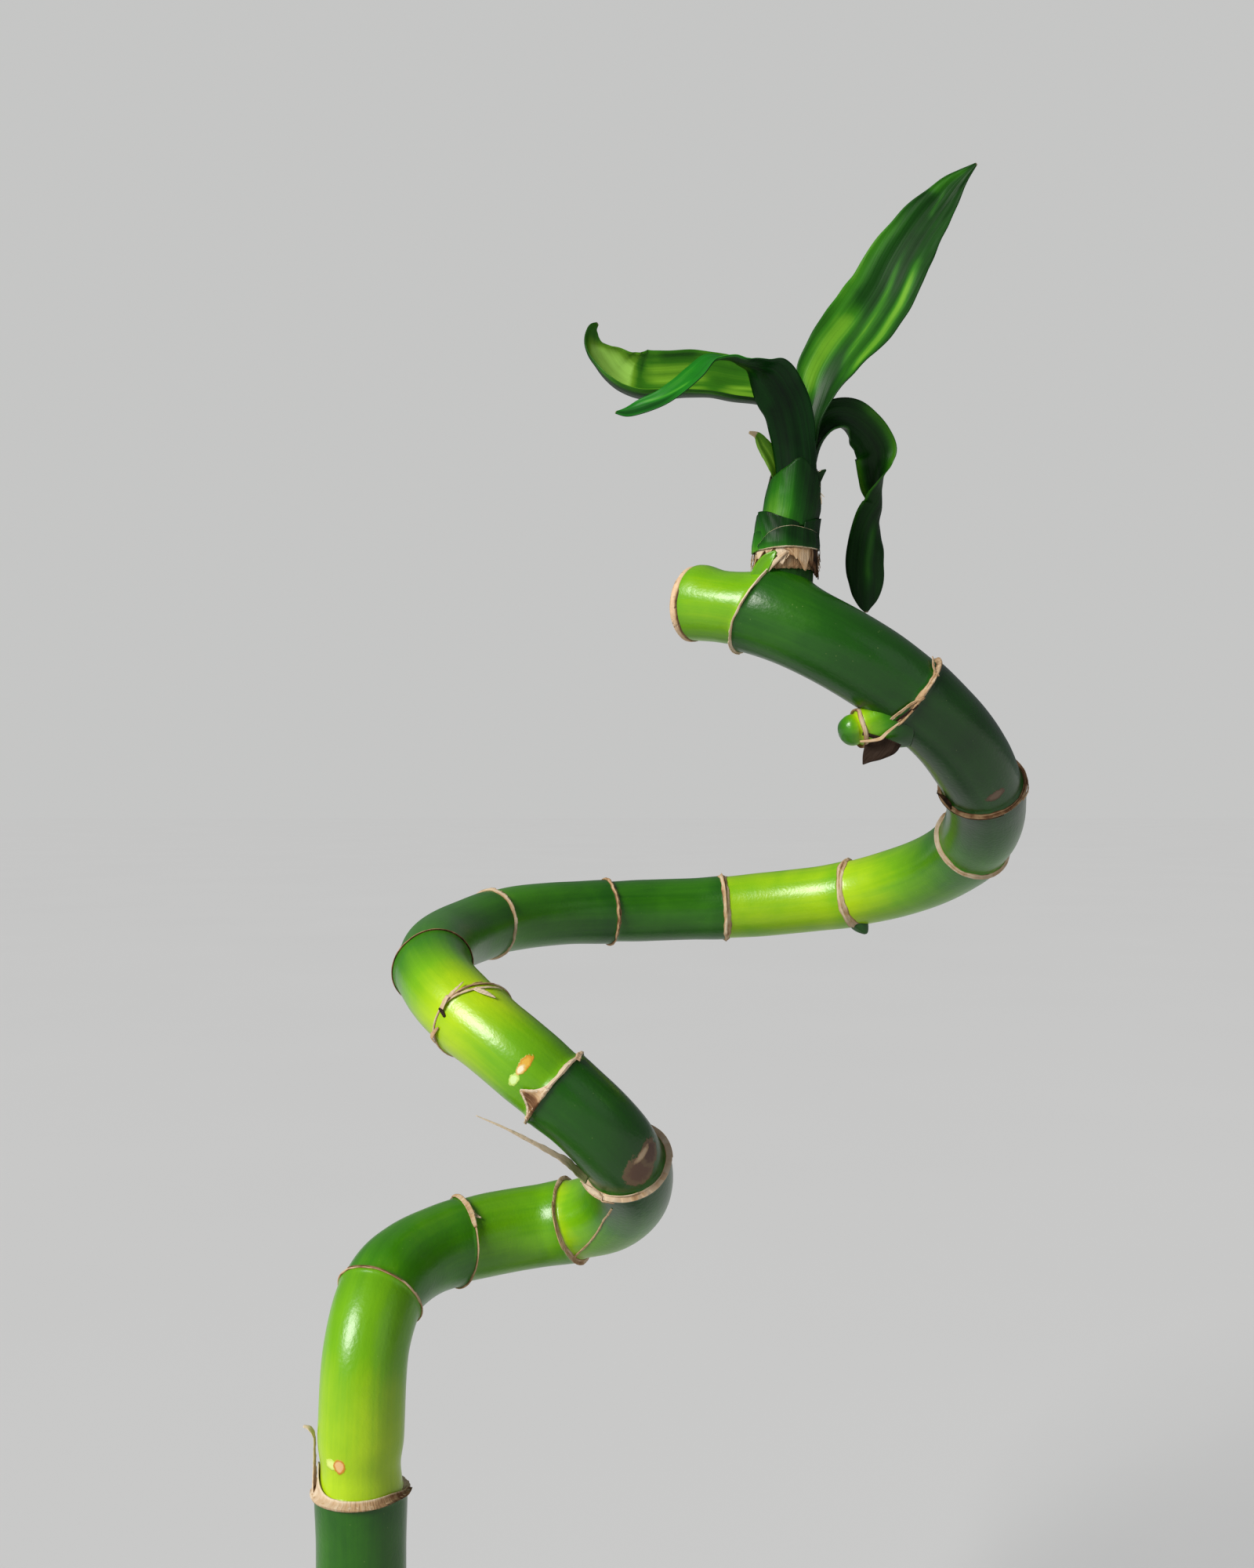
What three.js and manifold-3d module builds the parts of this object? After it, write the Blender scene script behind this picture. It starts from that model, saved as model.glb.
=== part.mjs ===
// Lucky bamboo: one cane of Dracaena sanderiana trained into a rising spiral of two turns, with a leafy
// shoot on its cut top, standing in a plain round vase filled with pebbles.
// Millimetres, +Z up, seen from the front along +Y. The origin is the centre of the vase's foot.
import * as THREE from "three";
import { mergeVertices } from "three/addons/utils/BufferGeometryUtils.js";
import Module from "manifold-3d";

const wasm = await Module();
wasm.setup();

// Driving dimensions
const GAP = 0.3; // clearance between pieces that touch
const BLADE_THICKNESS = 0.7;
const DRY_THICKNESS = 0.6;
const VASE = { height: 98, footRadius: 30, rimRadius: 36, wall: 4, floor: 6, footRound: 2, lipRound: 1.8 };
const PEBBLES = { top: 84, rings: 4, firstRing: 12.5, ringStep: 6, spacing: 12.2, seed: 7 };
const FILL_CORNER = { run: 2.6, rise: 4 }; // slope round the bottom of the pebble fill
// Each pebble draws its values between two limits: radius, width and height as shares of its length, tip in
// radians, and how far it strays along its ring, across it and up
const PEBBLE = {
  radius: [5.6, 8.05], width: [0.72, 0.92], height: [0.55, 0.7], tip: [-0.25, 0.25],
  along: [0, 0.6], across: [-0.6, 0.6], up: [-0.64, 0.96],
};

// The cane's centreline, from its buried end to its cut top
const CANE_ROUTE = [
  [0, 0, 14], [0, 0, 50], [0, 0, 90], [0, 0, 125], [0, 0.2, 148], [0.6, 3.5, 162], [2.6, 11, 169.6],
  [6.2, 18.8, 172], [11.8, 25.9, 173.2], [18, 31.2, 173.6], [25.6, 35, 174.1], [33.2, 36.2, 175],
  [39.6, 34.8, 176.5], [45.8, 30.2, 179.4], [49.8, 22.6, 184.6], [50.6, 13.8, 191], [48.2, 6.4, 197.9],
  [42.6, 2.8, 204.9], [35.6, 2.2, 211], [27.5, 4.8, 217.3], [19.6, 10.4, 222.5], [13.8, 17.6, 226.5],
  [10.2, 27, 229.6], [9.2, 38, 231.6], [9.9, 50, 232.8], [13.8, 63, 234.2], [21.3, 75.4, 235.9],
  [32.8, 84.8, 236.6], [46.2, 91, 236.6], [59.6, 94.1, 236.8], [73.8, 94.6, 237.3], [89, 92.1, 238.8],
  [103, 86.8, 241], [113.7, 79.4, 244.2], [121.7, 69, 248.4], [126.4, 56.6, 253.8], [127.2, 44.2, 259.8],
  [125.1, 33.8, 265.7], [121.5, 26.2, 270.9], [115, 18.3, 278], [106.8, 12.7, 284.6], [98.2, 10, 290.4],
  [89.6, 9.4, 295.4], [82, 10.8, 299.2], [75.4, 13.5, 302], [69.4, 17, 303.7], [63.3, 21.3, 304.6],
];
// Leaf-scar rings, from the bottom up: distance along the cane, and the cane's diameter above the ring
const FOOT_DIAMETER = 17;
const RINGS = [
  [83, 16.8], [121.6, 16.2], [157.4, 16.7], [182, 16.9], [207.8, 16.7], [244.4, 15.8], [267.2, 15.3],
  [289.5, 15.4], [312.6, 14.9], [356.5, 15.2], [390.6, 15.2], [420, 15.7], [452.4, 16.3], [495, 16.5],
  [522.6, 16.5], [553.8, 16.4], [589.8, 15.2],
];
const RING = { height: 0.55, halfWidth: 0.9, below: 0.035, above: 0.03 };
const CANE_SIDES = 16;
const CANE_STEP = 6;
const VASE_SIDES = 48;

// The green bud below the second ring from the top: where it leaves the cane, which way, and its radii
const BUD = { root: [101, 11.6, 281.9], way: [-0.88, -0.16, -0.44], length: 11.2, neck: 5, tip: 3 };
// A dormant bud under the long back stretch
const DORMANT_BUD = { root: [106, 84, 234.6], way: [0.55, -0.2, -0.8], length: 3.4, neck: 2.2, tip: 0.5 };

// The shoot's core: height, centre and radius, from inside the cane up to its closed top
const SHOOT_SECTIONS = [
  [303, 80.8, 12.8, 5.4], [309, 81, 12.9, 5.5], [314.6, 81.3, 13, 5.6], [315.6, 81.4, 13, 6.1],
  [318, 81.6, 13, 6], [320, 81.9, 13, 5.7], [321.3, 82.2, 13, 5.2], [324, 82.5, 13, 5], [328, 83, 13, 4.3],
  [331, 83.3, 13, 3.6], [334, 83.7, 13.2, 3], [336, 84, 13.4, 2.3],
];
const SHOOT_SIDES = 18;

// Blades, by stations along the midrib: x, y, z, width, half-angle of the cup, and how far the upper face is
// turned about the midrib from facing the front, in degrees
const SHEATH_TONGUE = {
  stations: [[82.2, 7.5, 319.5, 9.6, 60, 180], [82.4, 7.3, 324, 9.2, 56, 180], [82.6, 7, 328, 6, 46, 180],
    [82.9, 6.8, 331.4, 1.2, 20, 180]],
  steps: 6,
};
const LEAVES = {
  leaf_arched: {
    stations: [[83, 8, 325, 7.5, 70, 180], [82.9, 7.8, 330, 8, 62, 180], [82.2, 7.3, 335.3, 8.6, 50, 178],
      [80.9, 6.3, 340.3, 9.4, 36, 176], [79.1, 5, 343.3, 9.6, 28, 170], [77.2, 3.5, 345.4, 9, 24, 143],
      [74.7, 2, 346.6, 8.2, 22, 100], [71.9, 0.8, 347.2, 7.8, 22, 86], [69.1, -0.5, 347.8, 7, 24, 78],
      [65.8, -1.8, 347.2, 6.4, 26, 62], [62.8, -3, 344.2, 5.8, 28, 48], [59.6, -3.6, 341.4, 5.2, 28, 45],
      [56.3, -3.5, 339.3, 4.8, 26, 42], [52.2, -2.5, 338, 4.2, 22, 38], [49.9, -1.2, 337.7, 2.6, 18, 36],
      [47.9, 0, 337.9, 0.9, 15, 40]],
    steps: 28,
  },
  leaf_long: {
    stations: [[83.4, 16, 331.8, 6, 60, 40], [83, 16, 336.2, 8, 55, 42], [81.7, 15.8, 340.4, 10.5, 52, 44],
      [79.2, 15.5, 343.4, 13, 54, 45], [75.6, 15, 344.4, 14.6, 58, 45], [70.9, 14.5, 344.8, 14.8, 60, 45],
      [66.2, 14, 345.5, 14.8, 62, 45], [61.6, 13.6, 345.4, 14.8, 66, 45], [56.9, 13.2, 344.9, 14.6, 70, 45],
      [52.8, 12.9, 344.9, 14.6, 70, 45], [49.4, 12.6, 346, 13.8, 68, 46], [46.9, 12.3, 347.8, 12.2, 66, 47],
      [45, 12, 350, 10, 62, 46], [43.6, 11.8, 352, 7.2, 58, 43], [42.8, 11.7, 354, 4.8, 52, 42],
      [42.8, 11.6, 355.8, 3.2, 48, 40], [43.3, 11.5, 357.2, 2.1, 40, 40], [44.3, 11.5, 358, 0.9, 20, 40]],
    steps: 28,
  },
  leaf_tall: {
    stations: [[86.4, 13.4, 334, 4, 62, -50], [86.9, 13.8, 339, 5.5, 56, -45],
      [88.2, 14.4, 344.1, 8, 48, -35], [89.7, 15.2, 348.7, 12, 40, -28],
      [92.5, 16.2, 353.7, 13.6, 32, -25], [96.7, 17.6, 359.3, 15.2, 26, -25],
      [101.5, 19.2, 366.5, 14.8, 22, -25], [104.9, 20.4, 373.2, 13.6, 20, -25],
      [108.5, 21.2, 379.1, 11.4, 20, -22], [111.1, 21.6, 382.8, 9.8, 20, -20],
      [113.4, 21.8, 385.7, 7.6, 20, -18], [115.7, 21.8, 388.7, 5.4, 20, -15],
      [117.8, 21.6, 390.8, 3, 18, -12], [120.5, 21.2, 393.1, 0.9, 12, -10]],
    steps: 24,
  },
  leaf_drooping: {
    stations: [[86.6, 13.5, 327.8, 4.6, 60, -80], [86.9, 14, 331.3, 5.4, 56, -72],
      [87.7, 15, 335, 6.4, 50, -58], [89.2, 16.2, 338.3, 7.4, 42, -40],
      [91.6, 17.8, 340.3, 8.8, 36, -25], [94.5, 19.2, 340.4, 9.4, 34, -14], [97.4, 20.6, 338.8, 9, 34, -8],
      [99.2, 21.8, 337, 8.8, 36, -2], [100.3, 22.8, 335.2, 8.6, 42, 8], [100.6, 23.4, 333.3, 7.4, 52, 22],
      [101, 24, 331.2, 6.6, 68, 45], [101.5, 24.3, 328.8, 6.2, 86, 72], [101.7, 24.4, 326.8, 5.8, 92, 95],
      [101.6, 24.4, 324.5, 6, 84, 118], [100.4, 24.2, 321.9, 6.8, 64, 142], [99.4, 24, 319, 7.4, 44, 160],
      [98.9, 23.6, 316.1, 7.8, 32, 170], [98.5, 23.3, 312.9, 8, 26, 173], [98.6, 23, 309.3, 7.4, 24, 174],
      [98.4, 22.6, 306.1, 5.4, 22, 174], [98.3, 22.3, 304, 2.8, 18, 174], [98.4, 22.1, 302.7, 0.9, 12, 174]],
    steps: 34,
  },
  bract_left: {
    stations: [[79.3, 11.5, 327.5, 1.6, 30, 15], [78.9, 11, 329.5, 2.6, 30, 15],
      [78.1, 10.5, 331.8, 3.4, 28, 15], [76.8, 10, 333.9, 3.6, 24, 15], [75.6, 9.5, 335.4, 2.6, 20, 15],
      [73.7, 9, 336.2, 0.9, 12, 15]],
    steps: 8,
  },
};

// Dry brown remains of the leaf sheaths, as blades
const DRY_PIECES = {
  sheath_spike: {
    stations: [[-9.1, -0.5, 135.2, 4.6, 30, 90], [-8.9, -0.5, 138.8, 3, 18, 90],
      [-8.8, -0.5, 142.5, 2, 12, 90], [-8.9, -0.5, 145.8, 1.5, 8, 85], [-9.8, -0.5, 147.1, 1.1, 6, 70],
      [-10.8, -0.5, 147.4, 0.8, 4, 60]],
    steps: 9,
  },
  sheath_strip: {
    stations: [[42.4, 5, 192.2, 2, 20, 50], [40.6, 4.4, 193.9, 2, 18, 50], [38.6, 2, 196.4, 1.7, 16, 50],
      [35.6, -0.2, 198.8, 1.2, 14, 45], [31.4, -2.2, 201.6, 0.9, 12, 40], [27, -3.6, 204.2, 0.8, 8, 40],
      [22, -4.6, 206.6, 0.8, 4, 40]],
    steps: 12,
  },
};
// Torn papery collar round the shoot's base: lowest and highest edge, the teeth of its edge and their depth,
// and how far its outside waves
const COLLAR = { low: 307.6, high: 315, teeth: 7, tear: 0.4, wave: 0.25, steps: 28 };

const MATERIALS = {
  vase: { color: 0xd8d2c6, roughness: 0.35 },
  pebbles: { color: 0x8d8a84, roughness: 0.7 },
  cane: { color: 0x5c9a1c, roughness: 0.28 },
  shoot: { color: 0x3f8a1c, roughness: 0.35 },
  leaf: { color: 0x3c8420, roughness: 0.4 },
  dry: { color: 0xb8986c, roughness: 0.85 },
};

const FRONT = new THREE.Vector3(0, -1, 0);
const vector = (p) => new THREE.Vector3(...p);
const smooth = (t) => THREE.MathUtils.smoothstep(t, 0, 1);
const curveThrough = (points) => new THREE.CatmullRomCurve3(points.map(vector), false, "centripetal");

// Value at t (0 to 1) in a list of evenly spaced values
function spread(values, t) {
  const at = Math.min(Math.max(t, 0), 1) * (values.length - 1);
  const low = Math.min(Math.floor(at), values.length - 2);
  return THREE.MathUtils.lerp(values[low], values[low + 1], at - low);
}

// Repeatable random numbers from 0 to 1
function seededRandom(seed) {
  let state = seed;
  return () => {
    state = (state * 1664525 + 1013904223) % 4294967296;
    return state / 4294967296;
  };
}

function closedGeometry(positions, indices) {
  const geometry = new THREE.BufferGeometry();
  geometry.setAttribute("position", new THREE.Float32BufferAttribute(positions, 3));
  geometry.setIndex(indices);
  return geometry;
}

function solidOf(geometry) {
  const bare = geometry.clone();
  bare.deleteAttribute("normal");
  bare.deleteAttribute("uv");
  const merged = mergeVertices(bare, 1e-4);
  return new wasm.Manifold(new wasm.Mesh({
    numProp: 3,
    vertProperties: new Float32Array(merged.attributes.position.array),
    triVerts: new Uint32Array(merged.index.array),
  }));
}

function geometryOf(solid) {
  const mesh = solid.getMesh();
  return closedGeometry(Array.from(mesh.vertProperties), Array.from(mesh.triVerts));
}

// The largest body of a cut, without the crumbs that the cut leaves
function mainBody(solid) {
  return solid.decompose().sort((a, b) => b.volume() - a.volume())[0];
}

// Closed skin over sections of equal point counts, with a fan at each end
function skin(sections) {
  const count = sections[0].length;
  const positions = sections.flat().flatMap((p) => [p.x, p.y, p.z]);
  const indices = [];
  for (let i = 0; i < sections.length - 1; i++) {
    for (let j = 0; j < count; j++) {
      const a = i * count + j;
      const b = i * count + ((j + 1) % count);
      indices.push(a, b, a + count, b, b + count, a + count);
    }
  }
  for (const [ring, reverse] of [[0, true], [sections.length - 1, false]]) {
    const centre = new THREE.Vector3();
    sections[ring].forEach((p) => centre.addScaledVector(p, 1 / count));
    const hub = positions.length / 3;
    positions.push(centre.x, centre.y, centre.z);
    for (let j = 0; j < count; j++) {
      const a = ring * count + j;
      const b = ring * count + ((j + 1) % count);
      indices.push(hub, reverse ? b : a, reverse ? a : b);
    }
  }
  return closedGeometry(positions, indices);
}

// Frames that turn as little as possible along a curve, at the given distances from its start
function framesAlong(curve, distances) {
  const length = curve.getLength();
  let normal = null;
  return distances.map((distance) => {
    const at = Math.min(distance / length, 1);
    const point = curve.getPointAt(at);
    const tangent = curve.getTangentAt(at);
    normal = (normal ?? new THREE.Vector3(1, 0, 0)).clone();
    normal.addScaledVector(tangent, -normal.dot(tangent)).normalize();
    return { point, tangent, normal, binormal: new THREE.Vector3().crossVectors(tangent, normal) };
  });
}

function circleSection(frame, radius, sides) {
  return Array.from({ length: sides }, (_, j) => {
    const turn = (2 * Math.PI * j) / sides;
    return frame.point.clone()
      .addScaledVector(frame.normal, radius * Math.cos(turn))
      .addScaledVector(frame.binormal, radius * Math.sin(turn));
  });
}

// The cane's radius: each internode is slimmer above its ring, swells to its middle and flares at the next
function caneRadius(distance) {
  const starts = [[0, FOOT_DIAMETER], ...RINGS];
  let index = 0;
  while (index < starts.length - 1 && distance >= starts[index + 1][0]) index++;
  const [from, diameter] = starts[index];
  const to = index < starts.length - 1 ? starts[index + 1][0] : CANE_LENGTH;
  const along = (distance - from) / (to - from);
  const narrow = index > 0 ? RING.above * (1 - smooth(along / 0.3)) : 0;
  const flare = index < starts.length - 1 ? RING.below * smooth((along - 0.7) / 0.3) : 0;
  const nearest = Math.min(...RINGS.map(([at]) => Math.abs(distance - at)));
  const ridge = RING.height * (1 - smooth(nearest / RING.halfWidth));
  return (diameter / 2) * (1 - narrow + flare) + ridge;
}

const CANE_CURVE = curveThrough(CANE_ROUTE);
CANE_CURVE.arcLengthDivisions = 4000;
const CANE_LENGTH = CANE_CURVE.getLength();

// Distances at which the cane's surface has a section: close together at each ring
function caneStations() {
  const marks = [0, ...RINGS.map(([at]) => at), CANE_LENGTH];
  const stations = new Set();
  marks.slice(0, -1).forEach((from, i) => {
    const start = i > 0 ? from + RING.halfWidth : 0;
    const end = i < marks.length - 2 ? marks[i + 1] - RING.halfWidth : CANE_LENGTH;
    const count = Math.max(2, Math.round((end - start) / CANE_STEP));
    for (let k = 0; k <= count; k++) stations.add(start + ((end - start) * k) / count);
    if (i > 0) stations.add(from);
  });
  return [...stations].sort((a, b) => a - b);
}

function caneTube(grow = 0) {
  const stations = caneStations();
  const frames = framesAlong(CANE_CURVE, stations);
  return skin(frames.map((frame, i) => circleSection(frame, caneRadius(stations[i]) + grow, CANE_SIDES)));
}

// A blunt bud: a turned neck and dome, sunk into the cane at its root
function bud({ root, way, length, neck, tip }) {
  const profile = [[0, 0], [neck, 0], [neck * 0.86, length * 0.35], [tip * 1.12, length * 0.62],
    [tip, length * 0.8], [tip * 0.6, length * 0.95], [0, length]];
  const geometry = new THREE.LatheGeometry(profile.map(([r, h]) => new THREE.Vector2(r, h)), 12);
  const turn = new THREE.Quaternion().setFromUnitVectors(new THREE.Vector3(0, 1, 0), vector(way).normalize());
  geometry.applyQuaternion(turn);
  geometry.translate(...root);
  return geometry;
}

function caneSolid() {
  return solidOf(caneTube()).add(solidOf(bud(BUD))).add(solidOf(bud(DORMANT_BUD)));
}

function grownCane() {
  const grownBud = { ...BUD, neck: BUD.neck + GAP, tip: BUD.tip + GAP };
  return solidOf(caneTube(GAP)).add(solidOf(bud(grownBud)));
}

function shootCore(grow = 0) {
  return skin(SHOOT_SECTIONS.map(([z, x, y, radius]) => {
    const frame = { point: new THREE.Vector3(x, y, z), normal: new THREE.Vector3(1, 0, 0) };
    frame.binormal = new THREE.Vector3(0, 1, 0);
    return circleSection(frame, radius + grow, SHOOT_SIDES);
  }));
}

// A thin cupped blade along its midrib, as one closed solid
function blade({ stations, steps }, thickness, grow = 0) {
  const curve = curveThrough(stations.map((station) => station.slice(0, 3)));
  const [widths, cups, turns] = [3, 4, 5].map((k) => stations.map((station) => station[k]));
  const across = 3; // cells on each side of the midrib
  const half = thickness / 2 + grow;
  const sections = [];
  for (let i = 0; i <= steps; i++) {
    const along = curve.getUtoTmapping(i / steps);
    const point = curve.getPoint(along);
    const tangent = curve.getTangent(along);
    const face = FRONT.clone().addScaledVector(tangent, -FRONT.dot(tangent)).normalize();
    face.applyAxisAngle(tangent, THREE.MathUtils.degToRad(spread(turns, along)));
    const side = new THREE.Vector3().crossVectors(tangent, face).normalize();
    const up = new THREE.Vector3().crossVectors(side, tangent).normalize();
    const bend = THREE.MathUtils.degToRad(spread(cups, along));
    const arcRadius = (spread(widths, along) / 2 + grow) / Math.sin(bend);
    const layer = (offset) => Array.from({ length: 2 * across + 1 }, (_, k) => {
      const turn = (bend * (k - across)) / across;
      return point.clone()
        .addScaledVector(side, (arcRadius - offset) * Math.sin(turn))
        .addScaledVector(up, arcRadius - (arcRadius - offset) * Math.cos(turn));
    });
    sections.push([...layer(-half), ...layer(half).reverse()]);
  }
  return bladeSkin(sections, 2 * across + 1);
}

// Skin of a blade whose sections list the lower face and then the upper face backwards
function bladeSkin(sections, wide) {
  const count = 2 * wide;
  const positions = sections.flat().flatMap((p) => [p.x, p.y, p.z]);
  const indices = [];
  const quad = (a, b, c, d) => indices.push(a, b, c, a, c, d);
  for (let i = 0; i < sections.length - 1; i++) {
    for (let j = 0; j < count; j++) {
      const a = i * count + j;
      const b = i * count + ((j + 1) % count);
      const lower = j < wide - 1 || j === count - 1;
      if (lower) quad(a, b, b + count, a + count);
      else quad(b, b + count, a + count, a);
    }
  }
  const last = (sections.length - 1) * count;
  for (let k = 0; k < wide - 1; k++) {
    const far = count - 1 - k;
    quad(k + 1, k, far, far - 1);
    quad(last + k, last + k + 1, last + far - 1, last + far);
  }
  return closedGeometry(positions, indices);
}

function outward(geometry) {
  const solid = solidOf(geometry);
  if (solid.volume() > 0) return solid;
  const flipped = geometry.clone();
  const index = flipped.index.array;
  for (let i = 0; i < index.length; i += 3) [index[i], index[i + 1]] = [index[i + 1], index[i]];
  return solidOf(flipped);
}

const bladeSolid = (shape, thickness, grow = 0) => outward(blade(shape, thickness, grow));

function shootSolid() {
  const tongue = bladeSolid(SHEATH_TONGUE, BLADE_THICKNESS);
  return mainBody(outward(shootCore()).add(tongue).subtract(grownCane()));
}

function grownShoot() {
  return outward(shootCore(GAP)).add(bladeSolid(SHEATH_TONGUE, BLADE_THICKNESS, GAP));
}

// A ragged band round the shoot's base, its lower edge following the cane
function collarSolid() {
  const { low, high, teeth, tear, wave, steps } = COLLAR;
  const inner = SHOOT_SECTIONS[2][3] + GAP;
  const [, x, y] = SHOOT_SECTIONS[2];
  const sections = Array.from({ length: steps }, (_, i) => {
    const turn = (2 * Math.PI * i) / steps;
    const outer = inner + DRY_THICKNESS + wave * Math.cos(teeth * turn);
    const top = high - GAP + tear * (Math.sin(teeth * turn) - 1);
    const way = [Math.cos(turn), Math.sin(turn)];
    const corner = (radius, z) => new THREE.Vector3(x + radius * way[0], y + radius * way[1], z);
    return [corner(inner, low), corner(outer, low), corner(outer, top), corner(inner, top)];
  });
  return mainBody(outward(loop(sections)).subtract(grownCane()).subtract(grownShoot()));
}

// Skin of sections that close on themselves as a ring
function loop(sections) {
  const count = sections[0].length;
  const total = sections.length * count;
  const positions = sections.flat().flatMap((p) => [p.x, p.y, p.z]);
  const indices = [];
  for (let i = 0; i < sections.length; i++) {
    for (let j = 0; j < count; j++) {
      const a = i * count + j;
      const b = i * count + ((j + 1) % count);
      const c = (a + count) % total;
      const d = (b + count) % total;
      indices.push(a, b, d, a, d, c);
    }
  }
  return closedGeometry(positions, indices);
}

function vaseGeometry() {
  const { height, footRadius, rimRadius, wall, floor, footRound, lipRound } = VASE;
  const corner = (cx, cz, radius, from, to) => Array.from({ length: 4 }, (_, k) => {
    const turn = THREE.MathUtils.degToRad(from + ((to - from) * k) / 3);
    return new THREE.Vector2(cx + radius * Math.cos(turn), cz + radius * Math.sin(turn));
  });
  const profile = [
    new THREE.Vector2(0, 0),
    ...corner(footRadius - footRound, footRound, footRound, -90, 0),
    ...corner(rimRadius - lipRound, height - lipRound, lipRound, 0, 90),
    ...corner(rimRadius - wall + lipRound, height - lipRound, lipRound, 90, 180),
    ...corner(footRadius - wall - footRound, floor + footRound, footRound, 0, -90),
    new THREE.Vector2(0, floor),
  ];
  return turned(profile.map(({ x, y }) => [x, y]));
}

// Radius of the vase's straight inner wall at a height
function vaseBore(z) {
  const { height, footRadius, rimRadius, wall, floor, footRound, lipRound } = VASE;
  const start = floor + footRound;
  const along = (z - start) / (height - lipRound - start);
  return THREE.MathUtils.lerp(footRadius, rimRadius, along) - wall;
}

// A turned solid from a profile of radius and height
function turned(profile) {
  const geometry = new THREE.LatheGeometry(profile.map(([r, z]) => new THREE.Vector2(r, z)), VASE_SIDES);
  geometry.rotateX(Math.PI / 2);
  return geometry;
}

// One pebble: a flattened round stone, turned and tipped at random
function pebble(draw) {
  const geometry = new THREE.SphereGeometry(draw(PEBBLE.radius), 8, 4);
  geometry.rotateX(Math.PI / 2);
  geometry.scale(1, draw(PEBBLE.width), draw(PEBBLE.height));
  geometry.rotateZ(draw([0, 2 * Math.PI]));
  geometry.rotateX(draw(PEBBLE.tip));
  return geometry;
}

// Pebble fill: one solid, its top covered with sunken pebbles in rings round the cane
function pebbleSolid() {
  const { top, rings, firstRing, ringStep, spacing, seed } = PEBBLES;
  const bottom = VASE.floor + GAP;
  const wall = (z) => [vaseBore(z) - GAP, z];
  const corner = [vaseBore(bottom) - FILL_CORNER.run, bottom];
  const body = turned([[0, bottom], corner, wall(bottom + FILL_CORNER.rise), wall(top), [0, top]]);
  const room = turned([[0, 0], wall(0), wall(VASE.height), [0, VASE.height]]);
  const random = seededRandom(seed);
  const draw = ([low, high]) => low + (high - low) * random();
  let solid = outward(body);
  for (let ring = 0; ring < rings; ring++) {
    const radius = firstRing + ring * ringStep;
    const count = Math.round((2 * Math.PI * radius) / spacing);
    for (let k = 0; k < count; k++) {
      const turn = (2 * Math.PI * (k + draw(PEBBLE.along))) / count;
      const stone = pebble(draw);
      const reach = radius + draw(PEBBLE.across);
      stone.translate(reach * Math.cos(turn), reach * Math.sin(turn), top + draw(PEBBLE.up));
      solid = solid.add(outward(stone));
    }
  }
  return mainBody(solid.intersect(outward(room)).subtract(grownCane()));
}

const part = new THREE.Group();

function place(name, geometry, material) {
  const finish = new THREE.MeshStandardMaterial({ ...MATERIALS[material], metalness: 0 });
  const mesh = new THREE.Mesh(geometry, finish);
  mesh.name = name;
  part.add(mesh);
}

place("vase", geometryOf(outward(vaseGeometry())), "vase");
place("pebbles", geometryOf(pebbleSolid()), "pebbles");
place("cane", geometryOf(caneSolid()), "cane");
place("shoot", geometryOf(shootSolid()), "shoot");
place("shoot_collar", geometryOf(collarSolid()), "dry");

// Each leaf is cut back from the shoot and from the leaves placed before it
let taken = grownShoot().add(grownCane());
for (const [name, shape] of Object.entries(LEAVES)) {
  place(name, geometryOf(mainBody(bladeSolid(shape, BLADE_THICKNESS).subtract(taken))), "leaf");
  taken = taken.add(bladeSolid(shape, BLADE_THICKNESS, GAP));
}
for (const [name, shape] of Object.entries(DRY_PIECES)) {
  place(name, geometryOf(mainBody(bladeSolid(shape, DRY_THICKNESS).subtract(grownCane()))), "dry");
}

export default part;
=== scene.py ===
import math

import bmesh
import bpy
import numpy as np
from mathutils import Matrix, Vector


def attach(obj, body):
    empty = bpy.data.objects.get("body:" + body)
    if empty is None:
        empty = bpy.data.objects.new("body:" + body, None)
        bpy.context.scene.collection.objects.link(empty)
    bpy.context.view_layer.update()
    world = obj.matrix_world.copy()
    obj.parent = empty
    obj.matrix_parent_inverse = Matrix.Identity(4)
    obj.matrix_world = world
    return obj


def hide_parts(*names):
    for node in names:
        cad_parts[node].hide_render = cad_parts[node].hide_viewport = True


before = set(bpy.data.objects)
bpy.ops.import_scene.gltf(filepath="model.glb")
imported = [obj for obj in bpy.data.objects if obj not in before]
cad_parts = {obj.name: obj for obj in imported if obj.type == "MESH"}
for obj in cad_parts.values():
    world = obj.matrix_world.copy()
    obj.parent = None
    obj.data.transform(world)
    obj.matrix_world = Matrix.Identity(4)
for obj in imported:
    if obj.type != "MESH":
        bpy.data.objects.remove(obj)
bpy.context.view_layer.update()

MM = 0.001
PAPER = 0.18  # thickness of the dry sheath remains
LEAF = 0.4  # thickness of a leaf blade
SHEATH = 0.35  # thickness of a sheath round the shoot
THREAD = 0.12  # thickness of a loose fibre on the shoot
THIN_EDGE = 0.5  # how much thinner a thin body is at its margins
FLAT_CUP = 2.0  # half-angle of a fibre's cup, in degrees
LEAST_CUP = 1.0
TONE_LIMITS = (0.02, 0.98)

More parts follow.
